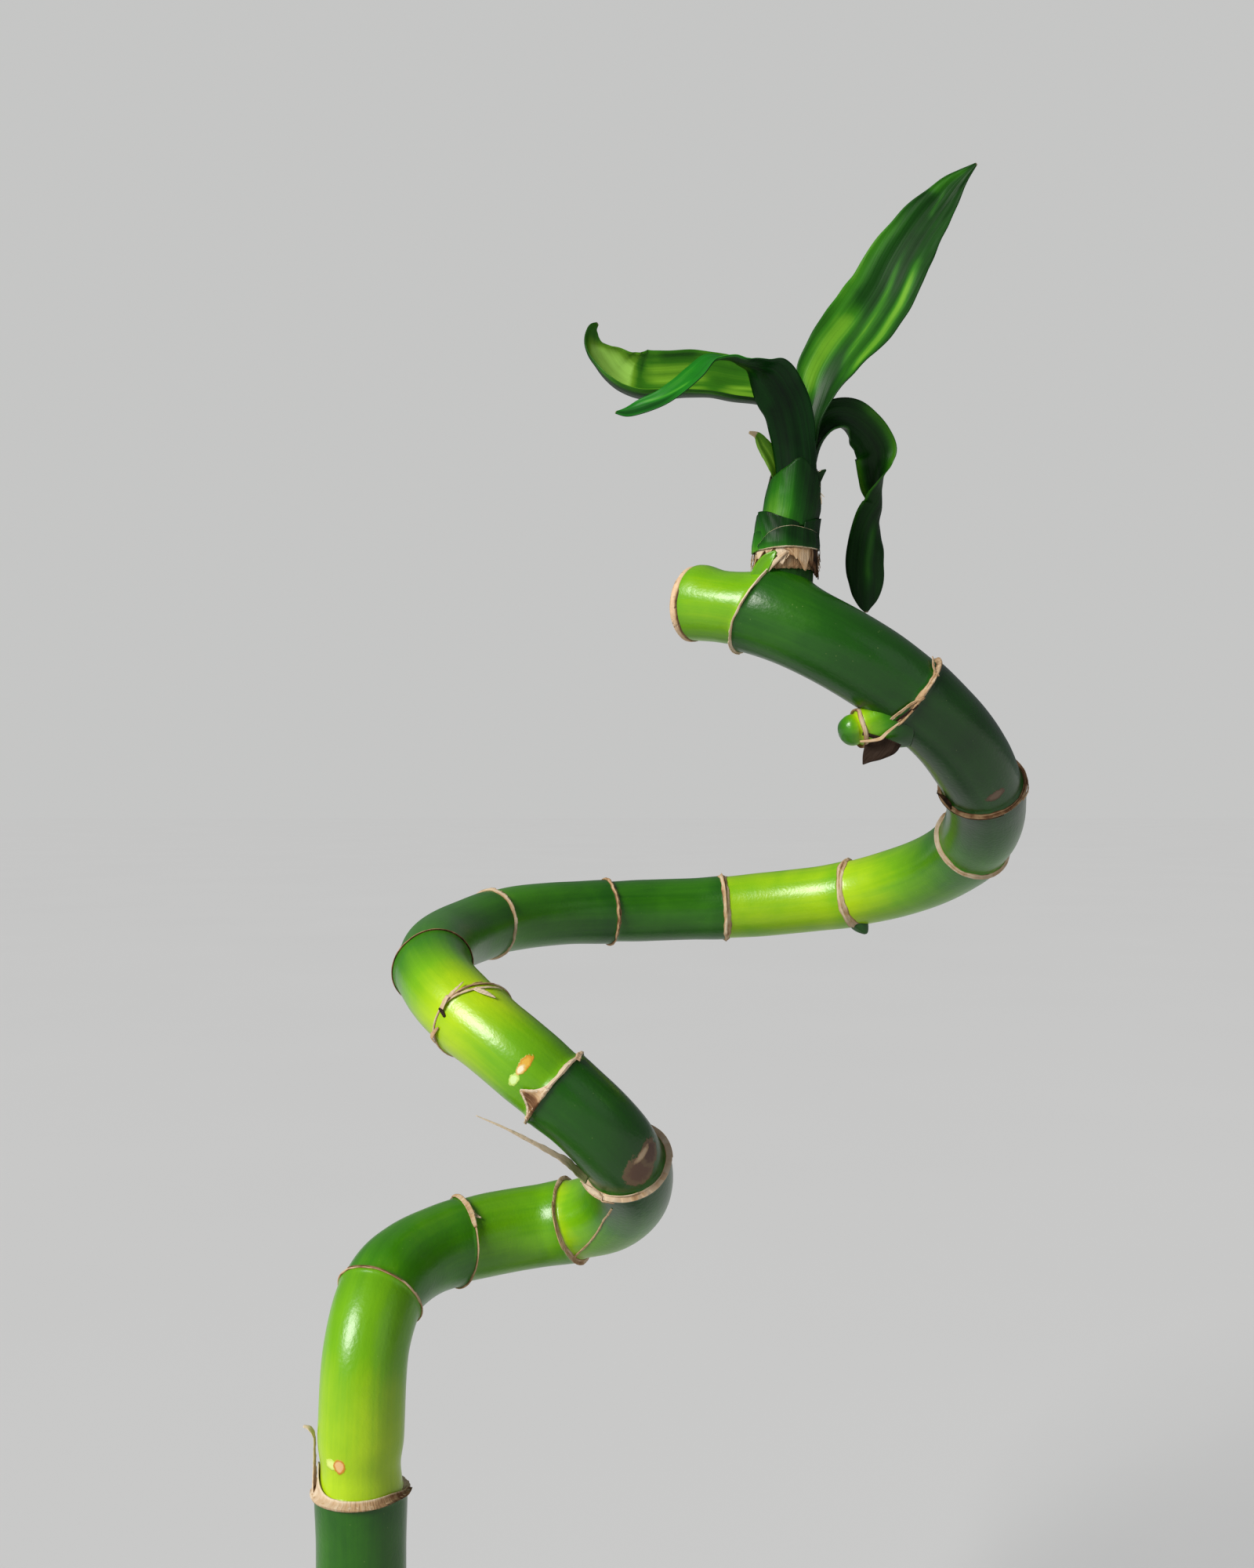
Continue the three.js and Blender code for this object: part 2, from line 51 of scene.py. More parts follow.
# The camera stands level in front of the plant
CAMERA = {"place": (50, -295, 268), "lens": 36, "sensor": 36, "near": 0.01, "far": 50}
FLOOR = {"half": 12.0, "low": (0.66, 0.664, 0.67), "high": (0.67, 0.674, 0.68)}
SKY = {"light": (0.82, 0.86, 0.92), "strength": 0.2, "seen": (0.562, 0.564, 0.558)}
LIT_PLACE = (60, 20, 230)  # where both lights aim
KEY = {"from": (-0.66, -0.56, 0.55), "away": 2.0, "energy": 4.16, "angle": 0.46, "colour": (1, 0.98, 0.94)}
FILL = {"from": (0.7, -0.6, 0.35), "away": 1.4, "size": 0.9, "power": 1.2, "colour": (0.94, 0.97, 1)}

# The cane's centreline, from its buried end to its cut top
CANE_ROUTE = [
    (0, 0, 14), (0, 0, 50), (0, 0, 90), (0, 0, 125), (0, 0.2, 148), (0.6, 3.5, 162), (2.6, 11, 169.6),
    (6.2, 18.8, 172), (11.8, 25.9, 173.2), (18, 31.2, 173.6), (25.6, 35, 174.1), (33.2, 36.2, 175),
    (39.6, 34.8, 176.5), (45.8, 30.2, 179.4), (49.8, 22.6, 184.6), (50.6, 13.8, 191), (48.2, 6.4, 197.9),
    (42.6, 2.8, 204.9), (35.6, 2.2, 211), (27.5, 4.8, 217.3), (19.6, 10.4, 222.5), (13.8, 17.6, 226.5),
    (10.2, 27, 229.6), (9.2, 38, 231.6), (9.9, 50, 232.8), (13.8, 63, 234.2), (21.3, 75.4, 235.9),
    (32.8, 84.8, 236.6), (46.2, 91, 236.6), (59.6, 94.1, 236.8), (73.8, 94.6, 237.3), (89, 92.1, 238.8),
    (103, 86.8, 241), (113.7, 79.4, 244.2), (121.7, 69, 248.4), (126.4, 56.6, 253.8), (127.2, 44.2, 259.8),
    (125.1, 33.8, 265.7), (121.5, 26.2, 270.9), (115, 18.3, 278), (106.8, 12.7, 284.6), (98.2, 10, 290.4),
    (89.6, 9.4, 295.4), (82, 10.8, 299.2), (75.4, 13.5, 302), (69.4, 17, 303.7), (63.3, 21.3, 304.6),
]
CANE_SIDES = 72
CANE_STEP = 0.8
CANE_TRACK = {"each_span": 200, "points": 2400}
ROW_CROWDING = 0.6  # how strongly the rows of the skin gather beside the rings
CUT_DEPTH = 0.9  # how far below the cut face the green skin stops
SKIN_RADIUS = 8  # radius at which the skin's grain and its marks are measured
FOOT_DIAMETER = 17

# Leaf-scar rings from the bottom up: distance along the cane, the cane's diameter above the ring, how far
# the ring leans, the angle round the cane in degrees where it reaches furthest up, the width of its papery
# rim, how many loose fibres cross it, and how pale it is
RINGS = [
    (83, 16.8, 0.4, 40, 0.9, 3, 0), (121.6, 16.2, 0.5, 250, 1, 0, 0.1), (157.4, 16.7, 0.4, 200, 0.6, 3, 0),
    (182, 16.9, 1.9, 205, 0.7, 1, -0.08), (207.8, 16.7, 0.5, 20, 0.9, 1, 0),
    (244.4, 15.8, 0.8, 340, 0.5, 4, 0.12), (267.2, 15.3, 0.6, 60, 0.7, 2, 0.25),
    (288.4, 15.4, 2, 40, 0.45, 2, 0.1), (312.6, 14.9, 2.4, 220, 0.2, 0, -0.2),
    (356.5, 15.2, 1.6, 90, 2, 1, 0.05), (390.6, 15.2, 0.4, 240, 1.4, 0, -0.14),
    (420, 15.7, 0.7, 190, 2.1, 1, 0), (452.4, 16.3, 0.3, 90, 2, 1, 0.05),
    # The rim at 522.6 is darkened partly as painted shade
    (495, 16.5, 0.8, 190, 1.1, 0, 0.12), (522.6, 16.5, 1.4, 200, 0.6, 4, -0.16),
    (553.8, 16.4, 1.6, 300, 0.9, 3, -0.02), (589.3, 15.2, 1.75, 204, 1, 2, 0.18),
]
RING_WOBBLE = 0.12
# The ridge at a ring, and how the cane flares below it and narrows above it: by what share of its radius,
# and from where or up to where, as a share of the internode
RIDGE = {"height": 0.4, "half_width": 0.9, "below": 0.035, "above": 0.03, "from": 0.7, "over": 0.3, "to": 0.3}
SLIM = {"at": 126.2, "spread": 3, "depth": 0.5}  # where the cane is slimmer above its second ring
# How far the cut stub's upper side draws in, and how far it turns down again at the cut, as shares of its
# radius; the other values are shares of the stub's length
WAIST = {"depth": 0.135, "over": 0.25, "ends": 0.55, "fades": 0.3}
CUT_ROUND = {"depth": 0.08, "starts": 0.9, "over": 0.1}

# The cut top from its side to its middle: share of the cane's radius, rise past its end, and how brown
CUT_PROFILE = [
    (0.98, -1.4, 1), (1.008, -1.25, 1), (1.016, -1, 0.9), (1.03, -0.75, 0.12), (1.04, -0.3, 0),
    (1.035, 0.1, 0), (1, 0.4, 0.1), (0.95, 0.45, 0.5), (0.87, 0.1, 0.9), (0.82, -0.25, 0.6),
    (0.7, -0.4, 0.35), (0.5, -0.35, 0.2), (0.25, -0.3, 0.15), (0.06, -0.3, 0.2),
]
CUT_EDGE_ROWS = 4  # rows that follow the uneven line where the skin meets the cut
CUT_RIM = 0.85  # share of the radius where the rim ends and the face begins
CUT_WOBBLE = {"edge": 0.17, "rim": 0.03, "face": 0.08, "rise": 0.12, "rind": 0.22}

# How the skin's lightness changes above and below a ring, and how far the brown beside it reaches
RING_TONES = {"above": 0.1, "fades": 14, "below": 0.06, "from": 0.8, "over": 0.2, "stain": 0.4}
# The papery rim of a ring: points round it and across it, its lift, how far its under side is sunk in the
# skin, its shade, the groove along it, and how unevenly wide it is
RIM = {
    "round": 220, "across": 9, "lift": 0.06, "arch": 0.12, "sunk": 0.15, "shade": 0.14, "edge_shade": 0.24,
    "groove_at": 0.15, "groove_half": 0.25, "groove_depth": 0.06, "groove_shade": 0.3, "widths": (0.5, 1.7),
}
# A loose fibre on a ring: its points, how far it runs round, how far it strays, and its other ranges
LOOSE = {
    "points": 50, "turn": (0.7, 2), "stray": (-0.3, 0.3), "taper": 0.6, "lift": 0.26, "width": 0.1,
    "wider": (0.1, 0.22), "shade": (-0.25, 0.2),
}

# How light each internode is at its lower and upper end, from the foot up: 0 is deep green and 1 is lime
# Partly the cane's own tone and partly painted light and shade: lime where light falls, dark green where
# shade falls
INTERNODE_TONES_AND_PAINTED_LIGHT = [
    (0.4, 0.35), (0.38, 0.32), (0.95, 0.7), (0.45, 0.5), (0.62, 0.66), (0.8, 0.2), (0.2, 0.28),
    (0.66, 0.98), (0.94, 0.5), (0.42, 0.4), (0.5, 0.3), (0.3, 0.35), (0.8, 0.85), (0.88, 0.5),
    (0.45, 0.12), (0.1, 0.1), (0.12, 0.3), (0.72, 0.74),
]

# Marks on the skin: distance, angle, half length, half width, and the colours of rim and middle
MARKS = [
    (128.6, 236, 0.9, 1.5, (0.52, 0.64, 0.12), (0.6, 0.7, 0.2)),
    (128.5, 249, 1.25, 1.3, (0.5, 0.19, 0.01), (0.66, 0.4, 0.18)),
    (272.7, 38, 0.8, 1.5, (0.45, 0.62, 0.12), (0.6, 0.76, 0.32)),
    (272.8, 65, 0.85, 2.3, (0.55, 0.24, 0.005), (0.64, 0.36, 0.03)),
    (272.8, 56, 0.6, 1.3, (0.6, 0.4, 0.1), (0.8, 0.68, 0.45)),
    (248.3, 68, 2.5, 3.6, (0.16, 0.1, 0.05), (0.12, 0.06, 0.035)),
    (249, 96, 1.9, 2.8, (0.16, 0.1, 0.05), (0.1, 0.05, 0.03)),
    (250, 84, 0.5, 2.4, (0.34, 0.22, 0.12), (0.5, 0.36, 0.22)),
    (527.6, 285, 1.1, 2.2, (0.1, 0.06, 0.03), (0.16, 0.1, 0.06)),
]

# The shoot's core: height, centre and radius
SHOOT_SECTIONS = [
    (303, 80.8, 12.8, 5.4), (309, 81, 12.9, 5.5), (314.6, 81.3, 13, 5.5), (316.6, 81.4, 13, 5.2),
    (318, 81.6, 13, 5.1), (320, 81.9, 13, 5), (321.3, 82.2, 13, 4.9), (324, 82.5, 13, 4.7),
    (328, 83, 13, 4.1), (331, 83.3, 13, 3.5), (334, 83.7, 13.2, 2.9), (336, 84, 13.4, 2.3),
]
SADDLE = {"centre": (80.4, 12.6), "height": 2.4, "spread": 5.6}  # swelling of the cane under the shoot
CORE = {"rows": 60, "sides": 48, "grain_radius": 5, "wobble": 0.06, "tone": 0.2}

# Blades, by stations along the midrib: x, y, z, width, half-angle of the cup, and how far the upper face is
# turned about the midrib from facing the front, in degrees
BLADES = {
    "leaf_arched": [
        (83, 8, 325, 7.5, 70, 180), (82.9, 7.8, 330, 8, 62, 180), (82.2, 7.3, 335.3, 8.6, 50, 178),
        (80.9, 6.3, 340.3, 9.4, 36, 176), (79.1, 5, 343.3, 9.6, 28, 170), (77.2, 3.5, 345.4, 9, 24, 143),
        (74.7, 2, 346.6, 8.2, 22, 100), (71.9, 0.8, 347.2, 7.8, 22, 86), (69.1, -0.5, 347.8, 7, 24, 78),
        (65.8, -1.8, 347.2, 6.4, 26, 62), (62.8, -3, 344.2, 5.8, 28, 48), (59.6, -3.6, 341.4, 5.2, 28, 45),
        (56.3, -3.5, 339.3, 4.8, 26, 42), (52.2, -2.5, 338, 4.2, 22, 38), (49.9, -1.2, 337.7, 2.6, 18, 36),
        (47.9, 0, 337.9, 0.6, 15, 40),
    ],
    "leaf_long": [
        (83.4, 16, 331.8, 6, 60, 40), (83, 16, 336.2, 8, 55, 42), (81.7, 15.8, 340.4, 10.5, 52, 44),
        (79.2, 15.5, 343.4, 13, 54, 45), (75.6, 15, 344.4, 14.6, 58, 45),
        (70.9, 14.5, 344.8, 14.8, 60, 45), (66.2, 14, 345.5, 14.8, 62, 45),
        (61.6, 13.6, 345.4, 14.8, 66, 45), (56.9, 13.2, 344.9, 14.6, 70, 45),
        (52.8, 12.9, 344.9, 14.6, 70, 45), (49.4, 12.6, 346, 13.8, 68, 46),
        (46.9, 12.3, 347.8, 12.2, 66, 47), (45, 12, 350, 10, 62, 46), (43.6, 11.8, 352, 7.2, 58, 43),
        (42.8, 11.7, 354, 4.8, 52, 42), (42.8, 11.6, 355.8, 3.2, 48, 40), (43.3, 11.5, 357.2, 2.1, 40, 40),
        (44.3, 11.5, 358, 0.6, 20, 40),
    ],
    "leaf_tall": [
        (86.4, 13.4, 334, 4, 62, -50), (86.9, 13.8, 339, 5.5, 56, -45), (88.2, 14.4, 344.1, 8, 48, -35),
        (89.7, 15.2, 348.7, 12, 40, -28), (92.5, 16.2, 353.7, 13.6, 32, -25),
        (96.7, 17.6, 359.3, 15.2, 26, -25), (101.5, 19.2, 366.5, 14.8, 22, -25),
        (104.9, 20.4, 373.2, 13.6, 20, -25), (108.5, 21.2, 379.1, 11.4, 20, -22),
        (111.1, 21.6, 382.8, 9.8, 20, -20), (113.4, 21.8, 385.7, 7.6, 20, -18),
        (115.7, 21.8, 388.7, 5.4, 20, -15), (117.8, 21.6, 390.8, 3, 18, -12),
        (120.5, 21.2, 393.1, 0.5, 12, -10),
    ],
    "leaf_drooping": [
        (86.6, 13.5, 327.8, 4.6, 60, -80), (86.9, 14, 331.3, 5.4, 56, -72), (87.7, 15, 335, 6.4, 50, -58),
        (89.2, 16.2, 338.3, 7.4, 42, -40), (91.6, 17.8, 340.3, 8.8, 36, -25),
        (94.5, 19.2, 340.4, 9.4, 34, -14), (97.4, 20.6, 338.8, 9, 34, -8), (99.2, 21.8, 337, 8.8, 36, -2),
        (100.3, 22.8, 335.2, 8.6, 42, 8), (100.6, 23.4, 333.3, 7.4, 52, 22), (101, 24, 331.2, 6.6, 68, 45),
        (101.5, 24.3, 328.8, 6.2, 86, 72), (101.7, 24.4, 326.8, 5.8, 92, 95),
        (101.6, 24.4, 324.5, 6, 84, 118), (100.4, 24.2, 321.9, 6.8, 64, 142),
        (99.4, 24, 319, 7.4, 44, 160), (98.9, 23.6, 316.1, 7.8, 32, 170), (98.5, 23.3, 312.9, 8, 26, 173),
        (98.6, 23, 309.3, 7.4, 24, 174), (98.4, 22.6, 306.1, 5.4, 22, 174),
        (98.3, 22.3, 304, 2.8, 18, 174), (98.4, 22.1, 302.7, 0.6, 12, 174),
    ],
    "bract_left": [
        (79.3, 11.5, 327.5, 1.6, 30, 15), (78.9, 11, 329.5, 2.6, 30, 15), (77.9, 10.5, 331.8, 3.3, 28, 15),
        (76.5, 10, 333.9, 2.9, 24, 15), (75.3, 9.5, 335.6, 1.6, 20, 15), (73.7, 9, 336.2, 0.5, 12, 15),
    ],
    "bract_right": [
        (85.9, 10.6, 326.4, 2.4, 30, 10), (86.8, 10.3, 327.4, 2.2, 24, 10), (87.8, 10, 328.4, 1.3, 16, 10),
        (88.7, 9.8, 329.1, 0.3, 8, 10),
    ],
    "sheath_spike": [
        (-9.1, -0.5, 135.2, 4.6, 30, 90), (-8.9, -0.5, 138.8, 3, 18, 90), (-8.8, -0.5, 142.5, 2, 12, 90),
        (-8.9, -0.5, 145.8, 1.5, 8, 85), (-9.8, -0.5, 147.1, 1.1, 6, 70), (-10.8, -0.5, 147.4, 0.5, 4, 60),
    ],
    "sheath_strip": [
        (42.4, 5, 192.2, 2, 20, 50), (40.6, 4.4, 193.9, 2, 18, 50), (38.6, 2, 196.4, 1.7, 16, 50),
        (35.6, -0.2, 198.8, 1.2, 14, 45), (31.4, -2.2, 201.6, 0.8, 12, 40), (27, -3.6, 204.2, 0.45, 8, 40),
        (22, -4.6, 206.6, 0.15, 4, 40),
    ],
}

# Lightness of each leaf's upper and lower face, how far its greens lean to emerald, the depth of its pleats
# and of its waved margin, and its streaks: where each starts and ends along the leaf, its place across it at
# both ends, its half width, how strong it is, and the face that it shows on. Where a lower face is darker
# than the upper, that is partly painted shade, and the streaks are partly the leaves' own tone and partly
# painted light and shade
LEAF_FINISH = {
    "leaf_arched": {
        "upper": 0.46, "lower": 0.07, "cool": 0.9, "pleat": 0.08, "wave": 0.1,
        "streaks": [
            (0.5, 0.66, -0.95, -0.9, 0.1, 0.5, "both"), (0.62, 0.95, 0.6, 0.5, 0.3, 0.12, "upper"),
            (0.1, 0.5, -0.9, -0.95, 0.2, 0.12, "lower"), (0.28, 0.5, 0.6, 0.5, 0.25, 0.14, "lower"),
            # Of the next two streaks, the brighter second one is a painted highlight
            (0.74, 1.2, -0.5, 0, 0.7, -0.24, "upper"), (0.7, 0.94, -0.35, 0.7, 0.16, 0.24, "upper"),
        ],
    },
    "leaf_long": {
        "upper": 0.46, "lower": 0.1, "cool": 0, "pleat": 0.1, "wave": 0.1,
        "streaks": [
            # The first streak, at the curled end, is painted light over a face that lies in the leaf's own
            # shade
            (0.68, 0.97, 0.15, 0.2, 0.62, 0.7, "upper"), (0.68, 0.75, 0.65, 0.6, 0.3, -0.2, "upper"),
            (0.42, 0.7, 0.35, 0.35, 0.1, 0.35, "upper"), (0.42, 0.7, 0.05, 0.05, 0.07, 0.28, "upper"),
            (0.45, 0.7, 0.62, 0.62, 0.08, 0.3, "upper"), (0.2, 0.42, 0.3, 0.2, 0.08, 0.35, "upper"),
            (0.2, 0.44, -0.05, 0, 0.06, 0.3, "upper"), (0.22, 0.45, 0.05, 0.12, 0.05, 0.25, "upper"),
            (0.46, 0.62, 0.9, 0.9, 0.1, -0.2, "upper"), (0.3, 1, -0.93, -0.95, 0.08, 0.4, "both"),
        ],
    },
    "leaf_tall": {
        "upper": 0.14, "lower": 0.16, "cool": 0.15, "pleat": 0.14, "wave": 0.12,
        "streaks": [
            # This leaf's streaks follow its patches of light and shade, so they are partly painted light and
            # shade; the last, by the tip, is partly a painted highlight
            (0.1, 0.5, -0.6, -0.35, 0.38, 0.6, "both"), (0.2, 0.72, 0.3, -0.05, 0.09, 0.42, "both"),
            (0.16, 0.72, 0.85, 0.5, 0.15, 0.55, "both"), (0.36, 0.86, -0.85, -0.75, 0.26, 0.3, "both"),
            (0.12, 0.6, 0.55, 0.2, 0.12, 0.2, "both"), (0.78, 0.9, 0.1, -0.2, 0.1, 0.2, "both"),
            (0.25, 0.92, -0.97, -0.97, 0.05, 0.3, "both"), (0.84, 1, -0.8, -0.4, 0.5, 0.3, "both"),
        ],
    },
    "leaf_drooping": {
        "upper": 0.11, "lower": 0.1, "cool": 0.1, "pleat": 0.08, "wave": 0.1,
        "streaks": [
            (0.28, 0.56, -0.95, -0.9, 0.3, 0.45, "both"), (0.4, 0.64, 0.85, 0.9, 0.25, 0.45, "both"),
            (0.5, 0.78, -0.97, -0.97, 0.1, 0.45, "both"), (0.66, 0.95, 0.15, 0.05, 0.22, 0.26, "both"),
            (0.1, 0.35, 0.9, 0.9, 0.1, 0.2, "both"),
        ],
    },
    "bract_left": {
        "upper": 0.62, "lower": 0.55, "cool": 0, "pleat": 0.06, "wave": 0.1,
        "streaks": [(0.1, 0.9, 0, 0, 0.2, 0.2, "both"), (0.1, 1, -0.9, -0.8, 0.2, 0.3, "both")],
    },
}
DRY_TIPS = {"bract_left": (0.8, 0.12, 1.0)}  # where a blade's tip starts to dry, over what share, and how far
LEAF_TIP = (0.985, 0.015, 0.6)
STREAK_FADES = (4, 3)  # how fast a streak sets in and dies away
LEAF_MESH = {"steps": 150, "cells": 12}
MIDRIB = {"depth": 0.22, "half": 0.12}
PLEATS = 3.5  # pleats across a blade
MARGIN_WAVES = {"along": 24, "across": 1.4}
FULL_WIDTH = 10  # width from which a blade has its full pleats
LEAST_WIDTH = 0.4
LEAF_RIPPLES = [(0.008, 41), (0.006, 67)]  # how the width varies along a leaf: size and turns in radians
BRACT_RIGHT = {"steps": 30, "cells": 4, "tone": 0.08}

# The loose dry strips with a node of their own: how far along each is still green, and how pale it is
DRY_STRIPS = {"sheath_spike": (-1, 0.28), "sheath_strip": (0.3, 0.42)}
DRY_STRIP = {"steps": 80, "cells": 3, "ripples": [(0.1, 31), (0.06, 71)], "green": 0.75, "fades": 0.15}

# Loose strips of torn sheath on the cane: stations of distance along it, angle round it, lift and width, and
# how pale the strip is
STRIPS = {
    "web_near": ([(267.3, 6, 0.35, 0.5), (268.6, 22, 0.55, 0.45), (270.8, 36, 0.8, 0.35)], 0.25),
    "web_far": ([(270.8, 36, 0.8, 0.35), (268.9, 48, 0.5, 0.5), (267.6, 62, 0.35, 0.6)], 0.28),
    "peel_eleven": ([(267, 118, 0.2, 1.1), (267.4, 132, 0.5, 0.8), (267.2, 141, 1, 0.4)], 0.1),
    "peel_ten": (
        [(289.9, 52, 0.3, 1), (290.1, 66, 0.5, 0.9), (290.4, 82, 0.7, 0.6), (290.9, 98, 0.8, 0.2)], 0.15),
    "line_ten": ([
        (290, 58, 0.25, 0.4), (289.5, 76, 0.3, 0.5), (288.4, 100, 0.3, 0.5), (287.4, 122, 0.3, 0.5),
        (286.9, 146, 0.25, 0.3),
    ], 0.15),
    "flake_ten": ([
        (288.3, 102, 0.3, 0.9), (286.8, 106, 0.4, 1.2), (285.6, 109, 0.5, 0.9), (284.3, 112, 0.6, 0.2),
    ], 0.45),
    # A dark strip of painted shade in a hole in the sheath
    "painted_shade_gap_ten": ([(290.6, 52, 0.12, 0.4), (289.8, 49, 0.14, 0.8), (288.8, 45, 0.14, 0.5)], -0.6),
    "curl_ten": (
        [(289.2, 26, 0.25, 0.3), (289.8, 16, 0.3, 0.8), (290, 8, 0.5, 0.9), (289.4, 0, 0.7, 0.3)], 0),
    "seam_thirteen": ([
        (208.2, 24, 0.08, 0.4), (212.8, 9, 0.08, 0.4), (218.8, -3, 0.08, 0.35), (230.8, -9, 0.08, 0.35),
        (235.8, -3, 0.08, 0.35), (240.5, 6, 0.08, 0.4),
    ], 0),
    "peel_twelve": (
        [(244.4, 16, 0.3, 0.6), (245.6, -4, 0.6, 0.5), (247.4, -16, 1, 0.35), (249.2, -22, 1.6, 0.15)], 0.1),
    "strand_two": ([
        (555.1, 300, 0.25, 0.4), (555.9, 286, 0.4, 0.6), (556.3, 270, 0.5, 0.6), (556.4, 254, 0.5, 0.6),
        (555.9, 238, 0.4, 0.5), (554.6, 212, 0.25, 0.4),
    ], 0.02),
    # A dark strip of painted shade between the strands at the ring
    "painted_shade_gap_two": ([
        (555.2, 288, 0.3, 0.3), (555.4, 272, 0.3, 0.5), (555.4, 252, 0.3, 0.5), (554.8, 236, 0.3, 0.3),
    ], -0.6),
    "peel_two": ([(555, 332, 0.3, 0.7), (555.8, 350, 0.4, 0.6), (556, 368, 0.6, 0.3)], 0.05),
    "edge_three": ([
        (521.4, 318, 0.3, 0.5), (520.2, 336, 0.4, 0.7), (519.4, 352, 0.5, 0.7), (520.4, 372, 0.7, 0.2),
    ], 0.05),
    "curl_fourteen": ([(181.9, 285, 0.25, 1), (182.8, 290, 0.5, 0.8), (183.8, 296, 0.8, 0.3)], 0.15),
}
STRIP = {
    "points": 40, "cup": 25.0, "ripples": [(0.05, 37), (0.03, 83)], "least": 0.1, "flutter": 0.4,
    "paler": 0.1,
}

# Papery patches on the cane, by stations round it: angle, lower and upper edge, the lift of each, how pale
PATCHES = {
    "web_eleven": [
        (2, 267, 267.6, 0.15, 0.2, 0), (16, 267.1, 268.4, 0.2, 0.35, -0.15),
        (26, 267.2, 269.5, 0.2, 0.5, -0.22), (35, 267.3, 270.8, 0.25, 0.7, -0.25),
        (44, 267.4, 269.6, 0.25, 0.5, 0), (54, 267.4, 268.7, 0.2, 0.35, 0.15),
        (68, 267.5, 268, 0.15, 0.2, 0.15),
    ],
    "cuff_sixteen": [
        (150, 121, 122.2, 0.1, 0.2, 0.1), (168, 120.9, 124, 0.15, 0.3, 0.2),
        (182, 120.9, 126.8, 0.25, 0.3, 0.1), (194, 121, 125.6, 0.35, 0.35, 0.22),
        (208, 121.2, 124.2, 0.35, 0.35, 0.2), (224, 121.3, 123.2, 0.35, 0.3, 0.15),
        (250, 121.4, 122.9, 0.36, 0.25, 0.1), (290, 121.6, 122.9, 0.36, 0.25, 0.02),
        (324, 121.8, 122.8, 0.36, 0.35, -0.1), (350, 121.2, 122, 0.3, 0.4, -0.15),
        (366, 120.6, 121.6, 0.2, 0.5, -0.2),
    ],
    "band_fourteen": [
        (222, 183.4, 184.2, 0.15, 0.25, 0), (248, 182.5, 183.7, 0.2, 0.3, 0.06),
        (275, 181.6, 182.9, 0.2, 0.35, 0.1), (298, 180.9, 182.2, 0.2, 0.35, 0.04),
        (306, 180.9, 181.7, 0.15, 0.2, -0.05),
    ],
}

# Dry pieces that stand free of the skin, by stations of x, y, z and width, and how pale each is
FREE_FLAPS = {
    # This flap under the bud is darkened as painted shade
    "under_bud": ([(99.2, 7, 277, 7.8), (98.9, 7.9, 276, 7.2), (98, 8.6, 274.6, 5), (96.7, 9, 273.1, 2.4),
                   (95.8, 9.3, 271.8, 0.2)], -0.55),
    "bud_edge": ([(95, 7.6, 276.2, 0.4), (97.4, 7, 276.4, 0.6), (98.9, 6.6, 276.8, 0.7),
                  (99.9, 6.2, 277.8, 0.6), (102.4, 6.2, 279.8, 0.3)], 0.1),
    # This flap is dark partly as painted shade
    "at_three": ([(118, 28.5, 262.8, 2.4), (116.4, 27.6, 264.1, 1.6), (114.8, 27, 265.4, 0.8),
                  (113.6, 26.8, 266.2, 0.2)], -0.35),
    "spot_three": ([(116, 27.2, 265.9, 0.7), (115.4, 27, 267.1, 0.6), (115.1, 27, 268, 0.15)], 0.35),
}
FLAP = {"points": 30, "cells": 3, "cup": 12.0, "faces": (0, -1, 0.2)}

# The green bud at the second ring from the top, and the dormant one under the long back stretch: where each
# leaves the cane and which way, its profile of radius and height, and its lightness by height
BUDS = {
    "green": {
        "root": (102, 11.6, 280.4), "way": (-0.96, -0.16, -0.22), "lumps": 0.05,
        "profile": [(5.6, -2), (5.3, 0), (4.7, 3), (4, 5.6), (3.6, 7), (3, 7.5), (3.1, 8.5), (2.8, 9.7),
                    (1.7, 10.8), (0.05, 11.2)],
        "tones": [(-2, 0.1), (0, 0.15), (2.5, 0.45), (5, 0.72), (7, 0.9), (7.8, 0.95), (9, 0.6), (11.3, 0.3)],
    },
    "dormant": {
        "root": (106, 84, 234.6), "way": (0.55, -0.2, -0.8), "lumps": 0.06,
        "profile": [(1.6, -2), (2.2, 0), (1.9, 1.2), (1.2, 2.4), (0.5, 3.2), (0.05, 3.4)],
        "tones": [(-2, 0.2), (3.4, 0.2)],
    },
}
BUD_MESH = {"sides": 40, "rows": 48}
BUD_RIM = {
    "height": 7, "radius": 3.65, "width": 0.9, "shade": 0.15, "edge_shade": 0.3, "round": 90, "across": 5,
    "arch": 0.1, "sunk": 0.2,
}

